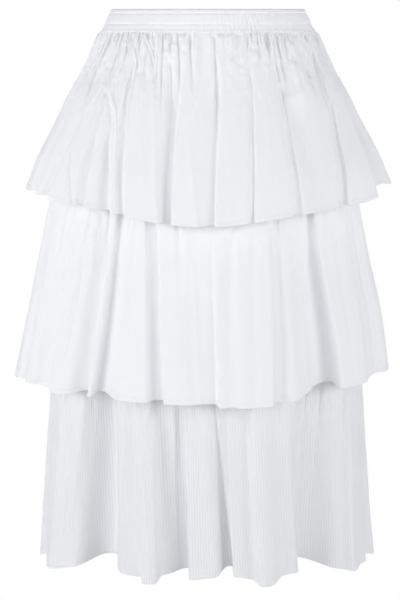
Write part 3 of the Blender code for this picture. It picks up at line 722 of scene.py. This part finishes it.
def row_shares(length, count, tucked):
    """Shares down a tier: closer below the seam, with the rows that the turned hem needs."""
    hem_rows = 1.0 - np.array(HEM_ROWS) / length
    steps = np.linspace(0.0, 1.0, count - len(hem_rows) + 1)[:-1]
    above = np.array([-1.0, -0.6, -0.3] if tucked else []) * TUCK / length
    return np.concatenate((above, hem_rows[0] * steps ** 1.25, hem_rows))


def cloth_grid(surface, relief, angles, shares, facing):
    """A grid of points on the dressed cloth, with the directions out of it, in millimetres."""
    angle, share = np.meshgrid(angles, shares)
    points = np.moveaxis(surface(angle, share), 0, -1)
    points = points + way_out(points) * relief(angle, share)[..., None]
    points[:, (0, -1), 1] = facing * GAP / 2
    return points, way_out(points)


def turned_hem(points, out):
    """Rows that go on from the hem's edge, round it and up inside the cloth to the stitching."""
    edge, edge_out = points[-1], out[-1]
    down = unit(points[-1] - points[-3])
    rows = [edge + down * HEM_RADIUS * np.sin(turn) - edge_out * HEM_RADIUS * (1 - np.cos(turn))
            for turn in np.radians((45.0, 90.0, 135.0, 180.0))]
    inside = [points[-row] - out[-row] * 2 * HEM_RADIUS for row in range(3, 10)]
    tucked = [points[-9] - out[-9] * HEM_RADIUS, points[-8] - out[-8] * 0.5 * HEM_RADIUS]
    return np.stack(rows + inside + tucked)


def turned_side(points, out, end):
    """Columns turned in at a side seam, from the cloth's end column back inside the skirt."""
    inward = 1 if end == 0 else -1
    columns = [points[:, end]]
    for step in range(1, ALLOWANCE + 1):
        column = end + inward * step
        columns.append(points[:, column] - out[:, column] * ALLOWANCE_DEPTH)
    grid = np.stack(columns, axis=1)
    return grid if end else grid[:, ::-1]


def lengths(points, axis):
    """The distance run along one axis of a grid, in millimetres."""
    steps = np.linalg.norm(np.diff(points, axis=axis), axis=-1)
    start = np.zeros_like(np.take(steps, [0], axis=axis))
    return np.concatenate((start, np.cumsum(steps, axis=axis)), axis=axis)


def grid_part(points, room):
    """The corners and faces of a grid, its cloth measures and its places in the texture map."""
    rows, columns, _ = points.shape
    number = np.arange(rows * columns).reshape(rows, columns)
    faces = np.stack([number[:-1, :-1], number[1:, :-1], number[1:, 1:], number[:-1, 1:]], axis=-1)
    width = lengths(points, 1)[int(rows * MEASURED_ROW)]
    across, down = np.broadcast_to(width, (rows, columns)), lengths(points, 0)
    cloth = np.stack([across, down], axis=-1) * MM
    left, right = room
    chart = np.stack([left + (right - left) * across / width[-1],
                      0.01 + 0.98 * (1.0 - down / down.max())], axis=-1)
    return points.reshape(-1, 3) * MM, faces.reshape(-1, 4), cloth.reshape(-1, 2), chart


def new_object(name, corners, faces, material):
    """A smooth object of one material, from arrays of corners and faces."""
    mesh = bpy.data.meshes.new(name)
    mesh.from_pydata(corners.tolist(), [], faces.tolist())
    mesh.shade_smooth()
    mesh.materials.append(material)
    thing = bpy.data.objects.new(name, mesh)
    bpy.context.scene.collection.objects.link(thing)
    return thing


def new_piece(name, grids, material):
    """A piece of cloth from grids of points, each with its room in the texture map."""
    corners, faces, cloth, chart = zip(*(grid_part(points, room) for points, room in grids))
    starts = np.cumsum([0] + [len(part) for part in corners[:-1]])
    faces = np.concatenate([part + start for part, start in zip(faces, starts)])
    piece = new_object(name, np.concatenate(corners), faces, material)
    for layer, values in (("OFBake", chart), ("Cloth", cloth)):
        every = np.concatenate([part.reshape(-1, 2) for part in values])
        flat = every[faces.ravel()].astype(np.float32).ravel()
        piece.data.uv_layers.new(name=layer).uv.foreach_set("vector", flat)
    return piece


# Rings round one stitch: the share of its length, the height above the cloth and the share of the
# thread's radius
STITCH_RINGS = ((0.0, -0.12, 0.7), (0.22, 0.16, 1.0), (0.78, 0.16, 1.0), (1.0, -0.12, 0.7))
RING_CORNERS = np.radians((45.0, 135.0, 225.0, 315.0))
LOOK_AHEAD = 0.5                # millimetres ahead at which a stitch's direction is read


def read_line(values, run, at):
    """Values given along a line, read at some distances along it."""
    return np.stack([np.interp(at, run, values[:, k]) for k in range(3)], axis=-1)


def stitches(name, line, out, scene):
    """A row of machine stitches along a line of points on the cloth: each dips in at its ends."""
    sewing = scene.skirt_sewing
    run = lengths(line[:, None], 0)[:, 0]
    pitch = (sewing.stitch_length + sewing.stitch_gap) / MM
    starts = np.arange(pitch / 2, run[-1] - pitch, pitch)
    corners = []
    for share, lift, size in STITCH_RINGS:
        at = starts + share * sewing.stitch_length / MM
        centre, up = read_line(line, run, at), unit(read_line(out, run, at))
        side = np.cross(unit(read_line(line, run, at + LOOK_AHEAD) - centre), up)
        radius = sewing.thread_radius / MM * size
        corners.append([centre + up * (lift + radius * np.sin(turn)) + side * radius * np.cos(turn)
                        for turn in RING_CORNERS])
    corners = np.moveaxis(np.array(corners), 2, 0).reshape(-1, 3) * MM
    number = np.arange(len(STITCH_RINGS) * len(RING_CORNERS)).reshape(len(STITCH_RINGS), -1)
    beside = np.roll(number, -1, axis=1)
    tube = np.stack([number[:-1], beside[:-1], beside[1:], number[1:]], axis=-1).reshape(-1, 4)
    faces = np.concatenate((tube, number[:1, ::-1], number[-1:]))
    every = (faces + np.arange(len(starts))[:, None, None] * number.size).reshape(-1, 4)
    piece = new_object(name, corners, every, finish_of("thread", scene))
    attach(piece, BODY)
    return piece


def join(name, pieces):
    """Several pieces made one, under a new name."""
    with bpy.context.temp_override(active_object=pieces[0], selected_editable_objects=pieces,
                                   object=pieces[0], selected_objects=pieces):
        bpy.ops.object.join()
    pieces[0].name = pieces[0].data.name = name
    return pieces[0]


def finish_piece(piece, kind, half):
    """Attaches one piece of cloth to the body and hides the solid of the same name."""
    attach(piece, BODY)
    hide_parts(f"{kind}_{half}")


# --- Materials ---
COTTON_GLOSS = 0.35             # how much cotton shines
SHEEN_SPREAD = 0.45             # how widely its fibres' sheen spreads
SLUBS = 0.8                     # strength of the slubs beside the weave
SLUB_COUNT = 900.0              # slubs in a metre of cloth
SLUB_STRETCH = (1.0, 0.12, 1.0)  # they run lengthwise
PATCH_TONE = 0.03               # how far the white varies in patches
PATCH_COUNT = 14.0              # such patches in a metre of cloth
WEAVE_TONE = 0.02               # how much lighter the crossings of the threads are
WEAVE_HEIGHT = 0.16             # how high the threads stand, as a share of their pitch
RIB_WIDTH = 1.8                 # how much steeper and flatter a self-stripe is than a wave
RIB_MIDDLE = 0.6                # the stripes' mean height, where their tone is neutral
RIB_SOFTNESS = 0.3              # how softly a self-stripe's edge turns over into its top
RELIEF_STRENGTH = 0.6           # strength of the weave's and stripes' relief
TWIST_TONE = 0.08               # how far the thread's white varies with its twist
TWIST_COUNT = 2600.0            # twists in a metre of thread
TWIST_HEIGHT = 0.00008          # height of the twist in metres


def add_node(tree, kind, **settings):
    """A shader node with some of its settings, and inputs by name."""
    node = tree.nodes.new(f"ShaderNode{kind}")
    for name, value in settings.pop("inputs", {}).items():
        node.inputs[name].default_value = value
    for name, value in settings.items():
        setattr(node, name, value)
    return node


def math(tree, operation, first, second=None, third=None):
    """A Math node's result. Each term is a number or another node's output."""
    node = add_node(tree, "Math", operation=operation)
    for place, term in enumerate((first, second, third)):
        if isinstance(term, (int, float)):
            node.inputs[place].default_value = term
        elif term is not None:
            tree.links.new(term, node.inputs[place])
    return node.outputs[0]


def wave(tree, measure, pitch):
    """A wave from 0 to 1 along one measure of the cloth, repeated at the pitch."""
    turns = math(tree, "MULTIPLY", measure, 2.0 * np.pi / pitch)
    return math(tree, "MULTIPLY_ADD", math(tree, "SINE", turns), 0.5, 0.5)


def new_material(name, finish):
    """A material, its node tree and its shader, with some of the shader's inputs set."""
    material = bpy.data.materials.new(name)
    material.use_nodes = True
    shader = material.node_tree.nodes["Principled BSDF"]
    for place, value in finish.items():
        shader.inputs[place].default_value = value
    return material, material.node_tree, shader


def tint(tree, shader, colour, tone):
    """Colours the shader, lighter and darker by a tone near 1."""
    mixed = add_node(tree, "Mix", data_type="RGBA", blend_type="MULTIPLY")
    mixed.inputs["Factor"].default_value = 1.0
    mixed.inputs[6].default_value = (*colour, 1.0)
    tree.links.new(tone, mixed.inputs[7])
    tree.links.new(mixed.outputs[2], shader.inputs["Base Color"])


def emboss(tree, shader, strength, heights):
    """Raises the surface by some heights, each with the metres that a height of 1 stands for."""
    normal = None
    for height, distance in heights:
        bump = add_node(tree, "Bump", inputs={"Strength": strength, "Distance": distance})
        tree.links.new(height, bump.inputs["Height"])
        if normal is not None:
            tree.links.new(normal, bump.inputs["Normal"])
        normal = bump.outputs[0]
    tree.links.new(normal, shader.inputs["Normal"])


def poplin(name, colour, cloth, striped):
    """Plain-woven white cotton: crossing threads, slubs, and faint unevenness of its white."""
    material, tree, shader = new_material(name, {
        "Roughness": cloth.roughness, "Specular IOR Level": COTTON_GLOSS,
        "Sheen Weight": cloth.sheen, "Sheen Roughness": SHEEN_SPREAD})
    measures = add_node(tree, "UVMap", uv_map="Cloth")
    split = add_node(tree, "SeparateXYZ")
    tree.links.new(measures.outputs[0], split.inputs[0])
    across, down = split.outputs[0], split.outputs[1]

    warp, weft = wave(tree, across, cloth.thread_pitch), wave(tree, down, cloth.thread_pitch)
    over = math(tree, "MULTIPLY", warp, weft)
    under = math(tree, "MULTIPLY", math(tree, "SUBTRACT", 1.0, warp),
                 math(tree, "SUBTRACT", 1.0, weft))
    weave = math(tree, "ADD", over, under)
    slubs = add_node(tree, "TexNoise", inputs={"Scale": SLUB_COUNT, "Detail": 2.0})
    stretched = add_node(tree, "Mapping", inputs={"Scale": SLUB_STRETCH})
    tree.links.new(measures.outputs[0], stretched.inputs[0])
    tree.links.new(stretched.outputs[0], slubs.inputs["Vector"])
    woven = math(tree, "MULTIPLY_ADD", slubs.outputs[0], SLUBS, weave)

    patches = add_node(tree, "TexNoise", inputs={"Scale": PATCH_COUNT, "Detail": 3.0})
    tree.links.new(measures.outputs[0], patches.inputs["Vector"])
    tone = math(tree, "MULTIPLY_ADD", patches.outputs[0], PATCH_TONE, 1.0 - PATCH_TONE / 2)
    tone = math(tree, "MULTIPLY_ADD", math(tree, "SUBTRACT", weave, 0.5), WEAVE_TONE, tone)

    heights = [(woven, cloth.thread_pitch * WEAVE_HEIGHT)]
    if striped:
        rib = math(tree, "MULTIPLY", wave(tree, across, cloth.stripe_pitch), RIB_WIDTH)
        rib = math(tree, "SMOOTH_MIN", rib, 1.0, RIB_SOFTNESS)
        tone = math(tree, "MULTIPLY_ADD", math(tree, "SUBTRACT", rib, RIB_MIDDLE),
                    cloth.stripe_tone, tone)
        heights.append((rib, cloth.stripe_height))
    tint(tree, shader, colour, tone)
    emboss(tree, shader, RELIEF_STRENGTH, heights)
    return material


def thread(name, colour):
    """White cotton sewing thread with a fine twist."""
    material, tree, shader = new_material(name, {"Roughness": 0.6, "Sheen Weight": 0.1})
    twist = add_node(tree, "TexNoise", inputs={"Scale": TWIST_COUNT, "Detail": 1.0})
    tree.links.new(add_node(tree, "NewGeometry").outputs["Position"], twist.inputs["Vector"])
    tint(tree, shader, colour, math(tree, "MULTIPLY_ADD", twist.outputs[0], TWIST_TONE, 0.95))
    emboss(tree, shader, 0.5, [(twist.outputs[0], TWIST_HEIGHT)])
    return material


def finish_of(slot, scene):
    """The material of a slot, made the first time that it is asked for."""
    cloth = scene.skirt_cloth
    name = f"sewn_{slot}"
    if name in bpy.data.materials:
        return bpy.data.materials[name]
    if slot == "poplin":
        return poplin(name, cloth.white, cloth, striped=False)
    # The striped tier's white is darker than the poplin white: painted shade for the light falling
    # off towards the hem
    if slot == "striped_poplin":
        return poplin(name, cloth.striped_shaded_white, cloth, striped=True)
    return thread(name, cloth.thread_colour)


# --- Pieces ---
# How a tier is made: its shape, the cross section that it is sewn to, its listed creases, how far
# round the hidden side's creases are moved, its random gathers, its columns and rows of points, its
# cloth, whether it is tucked into the waistband, which also draws it into main gathers, and the
# piece that carries it
Make = namedtuple("Make", "tier sewn_to creases shift combs columns rows slot tucked carrier")

TIERS = {
    "tier_1": Make(TIER_1, BAND_SECTIONS[-1], TIER_1_CREASES, 3.0, TIER_1_COMBS,
                   TIER_1_COLUMNS, TIER_1_ROWS, "poplin", True, "waistband"),
    "tier_2": Make(TIER_2, base_section(HIP_SEAM, CLOTH + GAP), TIER_2_CREASES, -4.0, TIER_COMBS,
                   TIER_2_COLUMNS, TIER_ROWS, "poplin", False, "base"),
    "tier_3": Make(TIER_3, BASE_SECTIONS[-1], TIER_3_CREASES, 5.0, TIER_COMBS,
                   TIER_3_COLUMNS, TIER_ROWS, "striped_poplin", False, "base"),
}

PANEL_ROOM = (0.01, 0.95)       # room across the texture map for a panel
LEFT_ROOM = (0.955, 0.97)       # for the cloth turned in at its left
RIGHT_ROOM = (0.975, 0.99)      # and at its right


def with_sides(whole, points, out):
    """A panel's grid with its two turned-in edges, each with its room in the texture map."""
    return [(whole, PANEL_ROOM), (turned_side(points, out, 0), LEFT_ROOM),
            (turned_side(points, out, -1), RIGHT_ROOM)]


def sew_tier(scene, name):
    """Both halves of a gathered tier, with their turned hems, side seams and stitching."""
    make = TIERS[name]
    tier = make.tier
    placed = make.creases + mirrored(make.creases, make.shift)
    lines = placed + combed(tier, make.combs, placed)
    length = tier.seam - np.mean([row.height for row in tier.hem])
    degree = [np.radians(section.left * ROUNDNESS) for section in tier.sections]
    surface = tier_surface(tier, make.sewn_to, make.tucked)
    relief = tier_relief(lines, length, (degree[0], degree[-1]), scene.skirt_cloth.crumple / MM)
    shares = row_shares(length, make.rows, make.tucked)
    for half in HALVES:
        angles = column_angles(tier, half, make.columns)
        points, out = cloth_grid(surface, relief, angles, shares, FACING[half])
        whole = np.concatenate((points, turned_hem(points, out)))
        piece = new_piece(f"{name}_{half}_cloth", with_sides(whole, points, out),
                          finish_of(make.slot, scene))
        sewn = stitches(f"{name}_{half}_stitching", points[STITCH_ROW], out[STITCH_ROW], scene)
        finish_piece(piece, name, half)


def band_relief(scene):
    """The elastic's puckers: strong on the right of the front and behind, faint at the left."""
    random = np.random.default_rng(11)
    puckers, place = [], -SIDE + 1.0
    while place < 3 * SIDE - 1.0:
        puckers.append((place, *random.random(4)))
        place += PUCKER_PITCH * (0.65 + 0.7 * random.random())

    def relief(angle, drop):
        front = turned(angle)
        elastic = np.where(np.abs(front) < SIDE, 0.30 + 0.7 * smooth((front + 2.0) / 28.0), 0.95)
        elastic = elastic * (0.75 + 0.4 * uneven(angle, 9, 16, 25))
        # The strips above the upper stitching, between the two rows and below the lower one
        strips = (1.0 - smooth((drop - 4.6) / 1.4), smooth((drop - 5.0) / 2.5)
                  * (1.0 - smooth((drop - 17.0) / 2.6)), smooth((drop - 19.0) / 2.4))
        found = np.zeros_like(angle)
        for place, top, middle, low, lean in puckers:
            held = 0.5 * top * strips[0] + (0.35 + middle) * strips[1] + (0.4 + low) * strips[2]
            away = turned(angle - place - (lean - 0.5) * (drop - 12.0) * 0.05)
            found -= held * np.exp(-np.abs(away / 0.5) ** 1.5)
        swell = 0.35 * soft_noise(angle, drop / 30.0, 90, 4, 12)
        return found * elastic * scene.skirt_cloth.pucker / MM + swell * (0.2 + elastic)

    return relief


def sew_waistband(scene):
    """Both halves of the folded casing, with its two rows of stitching."""
    relief = band_relief(scene)
    fine = np.linspace(0.0, 1.0, len(BAND_ROWS) * BAND_FINENESS)
    drops, outs = (along([getattr(row, column) for row in BAND_ROWS], fine)
                   for column in BandRow._fields)
    outer_face = drops[:len(drops) // 2]
    for half, (start, end) in HALVES.items():
        angle, drop = np.meshgrid(np.linspace(start, end, BAND_COLUMNS + 1), drops)
        point, out, _ = oval(BAND_SECTIONS, angle, drop / (BAND_TOP - BAND_BOTTOM))
        flat = point + out * (outs[:, None] + relief(angle, drop) * ends(angle))
        points = np.stack([flat[0], flat[1], BAND_TOP - drop], axis=-1)
        points[:, (0, -1), 1] = FACING[half] * GAP / 2
        directions = -way_out(points)
        piece = new_piece(f"waistband_{half}_cloth", [(points[::-1], (0.01, 0.99))],
                          finish_of("poplin", scene))
        stitched = []
        for depth in (EDGE_STITCH, CASING_STITCH):
            row = int(np.argmin(np.abs(outer_face - depth)))
            stitched.append(stitches(f"waistband_{half}_row_{depth:.0f}", points[row],
                                     directions[row], scene))
        sewn = join(f"waistband_{half}_stitching", stitched)
        finish_piece(piece, "waistband", half)


def sew_base(scene):
    """Both halves of the plain base that the tiers are sewn to."""
    for half, (start, end) in HALVES.items():
        points, out = cloth_grid(base_surface, base_relief,
                                 np.linspace(start, end, BASE_COLUMNS + 1),
                                 np.linspace(0.0, 1.0, BASE_ROWS + 1), FACING[half])
        piece = new_piece(f"base_{half}_cloth", with_sides(points, points, out),
                          finish_of("poplin", scene))
        finish_piece(piece, "base", half)


# --- Stage ---
# The room's light comes from its walls. They are full up to one height above and below their
# middle, and fade out up to another. A height here is the upward part of the way to it.
WALL_MIDDLE = 0.02
WALL_FULL = 0.12
WALL_END = 0.34
CEILING_SHARE = 0.04            # light of the ceiling and the floor beside that of the walls
SENSOR = 36.0                   # millimetres of the picture's longer side in the camera

# A soft box: where it stands in metres, how wide it is, and its power in watts
SoftBox = namedtuple("SoftBox", "place size power")
SOFT_BOXES = {
    "left": SoftBox((-2.59, -1.49, -0.09), 1.6, 31.5),
    "right": SoftBox((2.52, -1.62, -0.05), 1.6, 28.0),
    "front": SoftBox((-0.5, -1.8, 0.0), 1.2, 5.0),
}


def floor_material(name, colour):
    """A pale floor that is seen as pure white, like paper lit by itself, but lights little."""
    material, tree, shader = new_material(name, {"Base Color": (*colour, 1.0), "Roughness": 0.9})
    paper = add_node(tree, "Emission", inputs={"Strength": 1.0})
    either = add_node(tree, "MixShader")
    seen = add_node(tree, "LightPath").outputs["Is Camera Ray"]
    for place, source in enumerate((seen, shader.outputs[0], paper.outputs[0])):
        tree.links.new(source, either.inputs[place])
    tree.links.new(either.outputs[0], tree.nodes["Material Output"].inputs["Surface"])
    return material


def white_room(room_light):
    """Even light from the walls all round, before a background that is seen as pure white."""
    world = bpy.data.worlds.new("studio_world")
    world.use_nodes = True
    tree = world.node_tree
    background = tree.nodes["Background"]
    background.inputs["Color"].default_value = (1.0, 1.0, 1.0, 1.0)
    way = add_node(tree, "SeparateXYZ")
    tree.links.new(add_node(tree, "TexCoord").outputs["Generated"], way.inputs[0])
    away = math(tree, "ABSOLUTE", math(tree, "SUBTRACT", way.outputs[2], WALL_MIDDLE))
    walls = add_node(tree, "MapRange", interpolation_type="SMOOTHSTEP", inputs={
        "From Min": WALL_FULL, "From Max": WALL_END,
        "To Min": room_light, "To Max": room_light * CEILING_SHARE})
    tree.links.new(away, walls.inputs["Value"])
    seen = add_node(tree, "LightPath").outputs["Is Camera Ray"]
    unseen = math(tree, "MULTIPLY", math(tree, "SUBTRACT", 1.0, seen), walls.outputs[0])
    tree.links.new(math(tree, "ADD", seen, unseen), background.inputs["Strength"])
    return world


def stand(name, data, place, target):
    """A light or a camera in its place, turned towards a point."""
    thing = bpy.data.objects.new(name, data)
    thing.location = place
    thing.rotation_mode = "QUATERNION"
    thing.rotation_quaternion = (Vector(target) - Vector(place)).to_track_quat("-Z", "Y")
    bpy.context.scene.collection.objects.link(thing)
    return thing


def set_studio(scene):
    """A pale floor, a room lit by its walls, three soft boxes and the camera."""
    studio = scene.skirt_studio
    low, high = CAD_BOUNDS[0].z, CAD_BOUNDS[1].z
    corners = studio.floor_reach * np.array([(-1, -1, 0), (1, -1, 0), (1, 1, 0), (-1, 1, 0)])
    floor = new_object("studio_floor", corners, np.array([(0, 1, 2, 3)]),
                       floor_material("studio_white", studio.floor_colour))
    floor.location.z = low - studio.floor_drop

    scene.world = white_room(studio.room_light)
    target = (0.0, 0.0, (low + high) / 2)
    for side in SOFT_BOXES:
        lamp = bpy.data.lights.new(f"{side}_light", "AREA")
        lamp.shape = "SQUARE"
        lamp.size = getattr(studio, f"{side}_size")
        lamp.energy = getattr(studio, f"{side}_power")
        stand(f"{side}_light", lamp, getattr(studio, f"{side}_place"), target)

    lens = bpy.data.cameras.new("camera")
    lens.sensor_width = SENSOR
    lens.lens = studio.lens
    scene.camera = stand("camera", lens, studio.camera_place, studio.camera_target)
    scene.view_settings.view_transform = "Standard"


# --- Settings ---
# What several properties have in common
COLOUR = {"subtype": "COLOR", "size": 3, "min": 0.0, "max": 1.0}
PLACE = {"subtype": "TRANSLATION", "unit": "LENGTH", "size": 3}
FINE = {"unit": "LENGTH", "precision": 5}


class SkirtCloth(bpy.types.PropertyGroup):
    """The cloth's colours and surface"""

    white: FloatVectorProperty(
        name="Poplin white", description="Colour of the waistband, base and upper tiers",
        default=(0.862, 0.87, 0.899), **COLOUR)
    # Darker than the poplin white: painted shade for the light that falls off towards the hem
    striped_shaded_white: FloatVectorProperty(
        name="Striped white", description="Colour of the striped bottom tier",
        default=(0.815, 0.823, 0.853), **COLOUR)
    thread_colour: FloatVectorProperty(
        name="Thread", description="Colour of the sewing thread",
        default=(0.84, 0.845, 0.86), **COLOUR)
    roughness: FloatProperty(
        name="Roughness", description="How matt the cotton is", min=0.0, max=1.0, default=0.85)
    sheen: FloatProperty(
        name="Sheen", description="Soft light caught by the cotton's fibres",
        min=0.0, max=1.0, default=0.12)
    thread_pitch: FloatProperty(
        name="Thread pitch", description="Distance between two threads of the weave",
        min=0.0001, default=0.0005, **FINE)
    stripe_pitch: FloatProperty(
        name="Stripe pitch", description="Distance between two self-stripes of the bottom tier",
        min=0.0005, default=0.0036, **FINE)
    stripe_height: FloatProperty(
        name="Stripe height", description="How far the self-stripes stand out",
        min=0.0, default=0.0004, **FINE)
    stripe_tone: FloatProperty(
        name="Stripe tone", description="How much lighter the self-stripes are",
        min=0.0, max=0.5, default=0.07)
    crumple: FloatProperty(
        name="Crumple", description="Depth of the small wrinkles",
        min=0.0, default=0.001, **FINE)
    pucker: FloatProperty(
        name="Pucker", description="Depth of the elastic's puckers in the waistband",
        min=0.0, default=0.0018, **FINE)


class SkirtSewing(bpy.types.PropertyGroup):
    """The stitches"""

    stitch_length: FloatProperty(
        name="Stitch length", description="Length of one machine stitch",
        min=0.001, default=0.0026, **FINE)
    stitch_gap: FloatProperty(
        name="Stitch gap", description="Gap between two stitches",
        min=0.0001, default=0.0006, **FINE)
    thread_radius: FloatProperty(
        name="Thread radius", description="Radius of the sewing thread",
        min=0.0001, default=0.00024, **FINE)


class SkirtStudio(bpy.types.PropertyGroup):
    """The stage, the light and the camera"""

    floor_drop: FloatProperty(
        name="Floor drop", description="How far the floor lies below the skirt's hem",
        unit="LENGTH", min=0.0, default=1.6)
    floor_reach: FloatProperty(
        name="Floor reach", description="Half the floor's width",
        unit="LENGTH", min=1.0, default=14.0)
    floor_colour: FloatVectorProperty(
        name="Floor colour", description="Colour of the floor",
        default=(0.75, 0.75, 0.75), **COLOUR)
    room_light: FloatProperty(
        name="Room light", description="Strength of the light from the walls", min=0.0,
        default=1.98)
    camera_place: FloatVectorProperty(
        name="Camera place", description="Where the camera stands",
        default=(-0.0108, -2.8, 0.0187), **PLACE)
    camera_target: FloatVectorProperty(
        name="Camera target", description="The point that the camera looks at",
        default=(-0.0108, 0.0, -0.3733), **PLACE)
    lens: FloatProperty(
        name="Lens", description="Focal length in millimetres, on a picture 36 mm high",
        min=10.0, default=125.94)


for side, box in SOFT_BOXES.items():
    SkirtStudio.__annotations__.update({
        f"{side}_place": FloatVectorProperty(
            name=f"{side.title()} place", description=f"Where the {side} soft box stands",
            default=box.place, **PLACE),
        f"{side}_size": FloatProperty(
            name=f"{side.title()} size", description=f"Width of the {side} soft box",
            unit="LENGTH", min=0.1, default=box.size),
        f"{side}_power": FloatProperty(
            name=f"{side.title()} power", description=f"Power of the {side} soft box",
            unit="POWER", min=0.0, default=box.power),
    })


# --- Operators and panel ---
class SKIRT_OT_waistband(bpy.types.Operator):
    """Sew the elasticated waistband, front and back"""

    bl_idname = "skirt.waistband"
    bl_label = "Sew Waistband"

    def execute(self, context):
        sew_waistband(context.scene)
        return {"FINISHED"}


class SKIRT_OT_base(bpy.types.Operator):
    """Sew the plain base that carries the lower tiers"""

    bl_idname = "skirt.base"
    bl_label = "Sew Base"

    def execute(self, context):
        sew_base(context.scene)
        return {"FINISHED"}


class SKIRT_OT_top_tier(bpy.types.Operator):
    """Gather the top tier into the waist seam"""

    bl_idname = "skirt.top_tier"
    bl_label = "Gather Top Tier"

    def execute(self, context):
        sew_tier(context.scene, "tier_1")
        return {"FINISHED"}


class SKIRT_OT_middle_tier(bpy.types.Operator):
    """Gather the middle tier onto the base at the hips"""

    bl_idname = "skirt.middle_tier"
    bl_label = "Gather Middle Tier"

    def execute(self, context):
        sew_tier(context.scene, "tier_2")
        return {"FINISHED"}


class SKIRT_OT_bottom_tier(bpy.types.Operator):
    """Gather the striped bottom tier onto the base's lower edge"""

    bl_idname = "skirt.bottom_tier"
    bl_label = "Gather Bottom Tier"

    def execute(self, context):
        sew_tier(context.scene, "tier_3")
        return {"FINISHED"}


class SKIRT_OT_studio(bpy.types.Operator):
    """Set up the pale floor, the lights and the camera"""

    bl_idname = "skirt.studio"
    bl_label = "Set Studio"

    def execute(self, context):
        set_studio(context.scene)
        return {"FINISHED"}


STEPS = (SKIRT_OT_waistband, SKIRT_OT_base, SKIRT_OT_top_tier, SKIRT_OT_middle_tier,
         SKIRT_OT_bottom_tier, SKIRT_OT_studio)
GROUPS = {"skirt_cloth": SkirtCloth, "skirt_sewing": SkirtSewing, "skirt_studio": SkirtStudio}


class SKIRT_PT_sewing(bpy.types.Panel):
    """The skirt's settings and steps"""

    bl_idname = "SKIRT_PT_sewing"
    bl_label = "Tiered Skirt"
    bl_space_type = "VIEW_3D"
    bl_region_type = "UI"
    bl_category = "Skirt"

    def draw(self, context):
        for name, kind in GROUPS.items():
            group = getattr(context.scene, name)
            box = self.layout.box()
            box.label(text=kind.__doc__)
            for setting in kind.__annotations__:
                box.prop(group, setting)
        for step in STEPS:
            self.layout.operator(step.bl_idname)


def register():
    for kind in (*GROUPS.values(), *STEPS, SKIRT_PT_sewing):
        bpy.utils.register_class(kind)
    for name, group in GROUPS.items():
        setattr(bpy.types.Scene, name, bpy.props.PointerProperty(type=group))


def unregister():
    for name in GROUPS:
        delattr(bpy.types.Scene, name)
    for kind in (SKIRT_PT_sewing, *STEPS[::-1], *GROUPS.values()):
        bpy.utils.unregister_class(kind)


def write_sizes():
    """Brings the view layer up to date."""
    bpy.context.view_layer.update()


def main():
    register()
    bpy.ops.skirt.waistband()
    bpy.ops.skirt.base()
    bpy.ops.skirt.top_tier()
    bpy.ops.skirt.middle_tier()
    bpy.ops.skirt.bottom_tier()
    bpy.ops.skirt.studio()
    write_sizes()


if __name__ == "__main__":
    main()
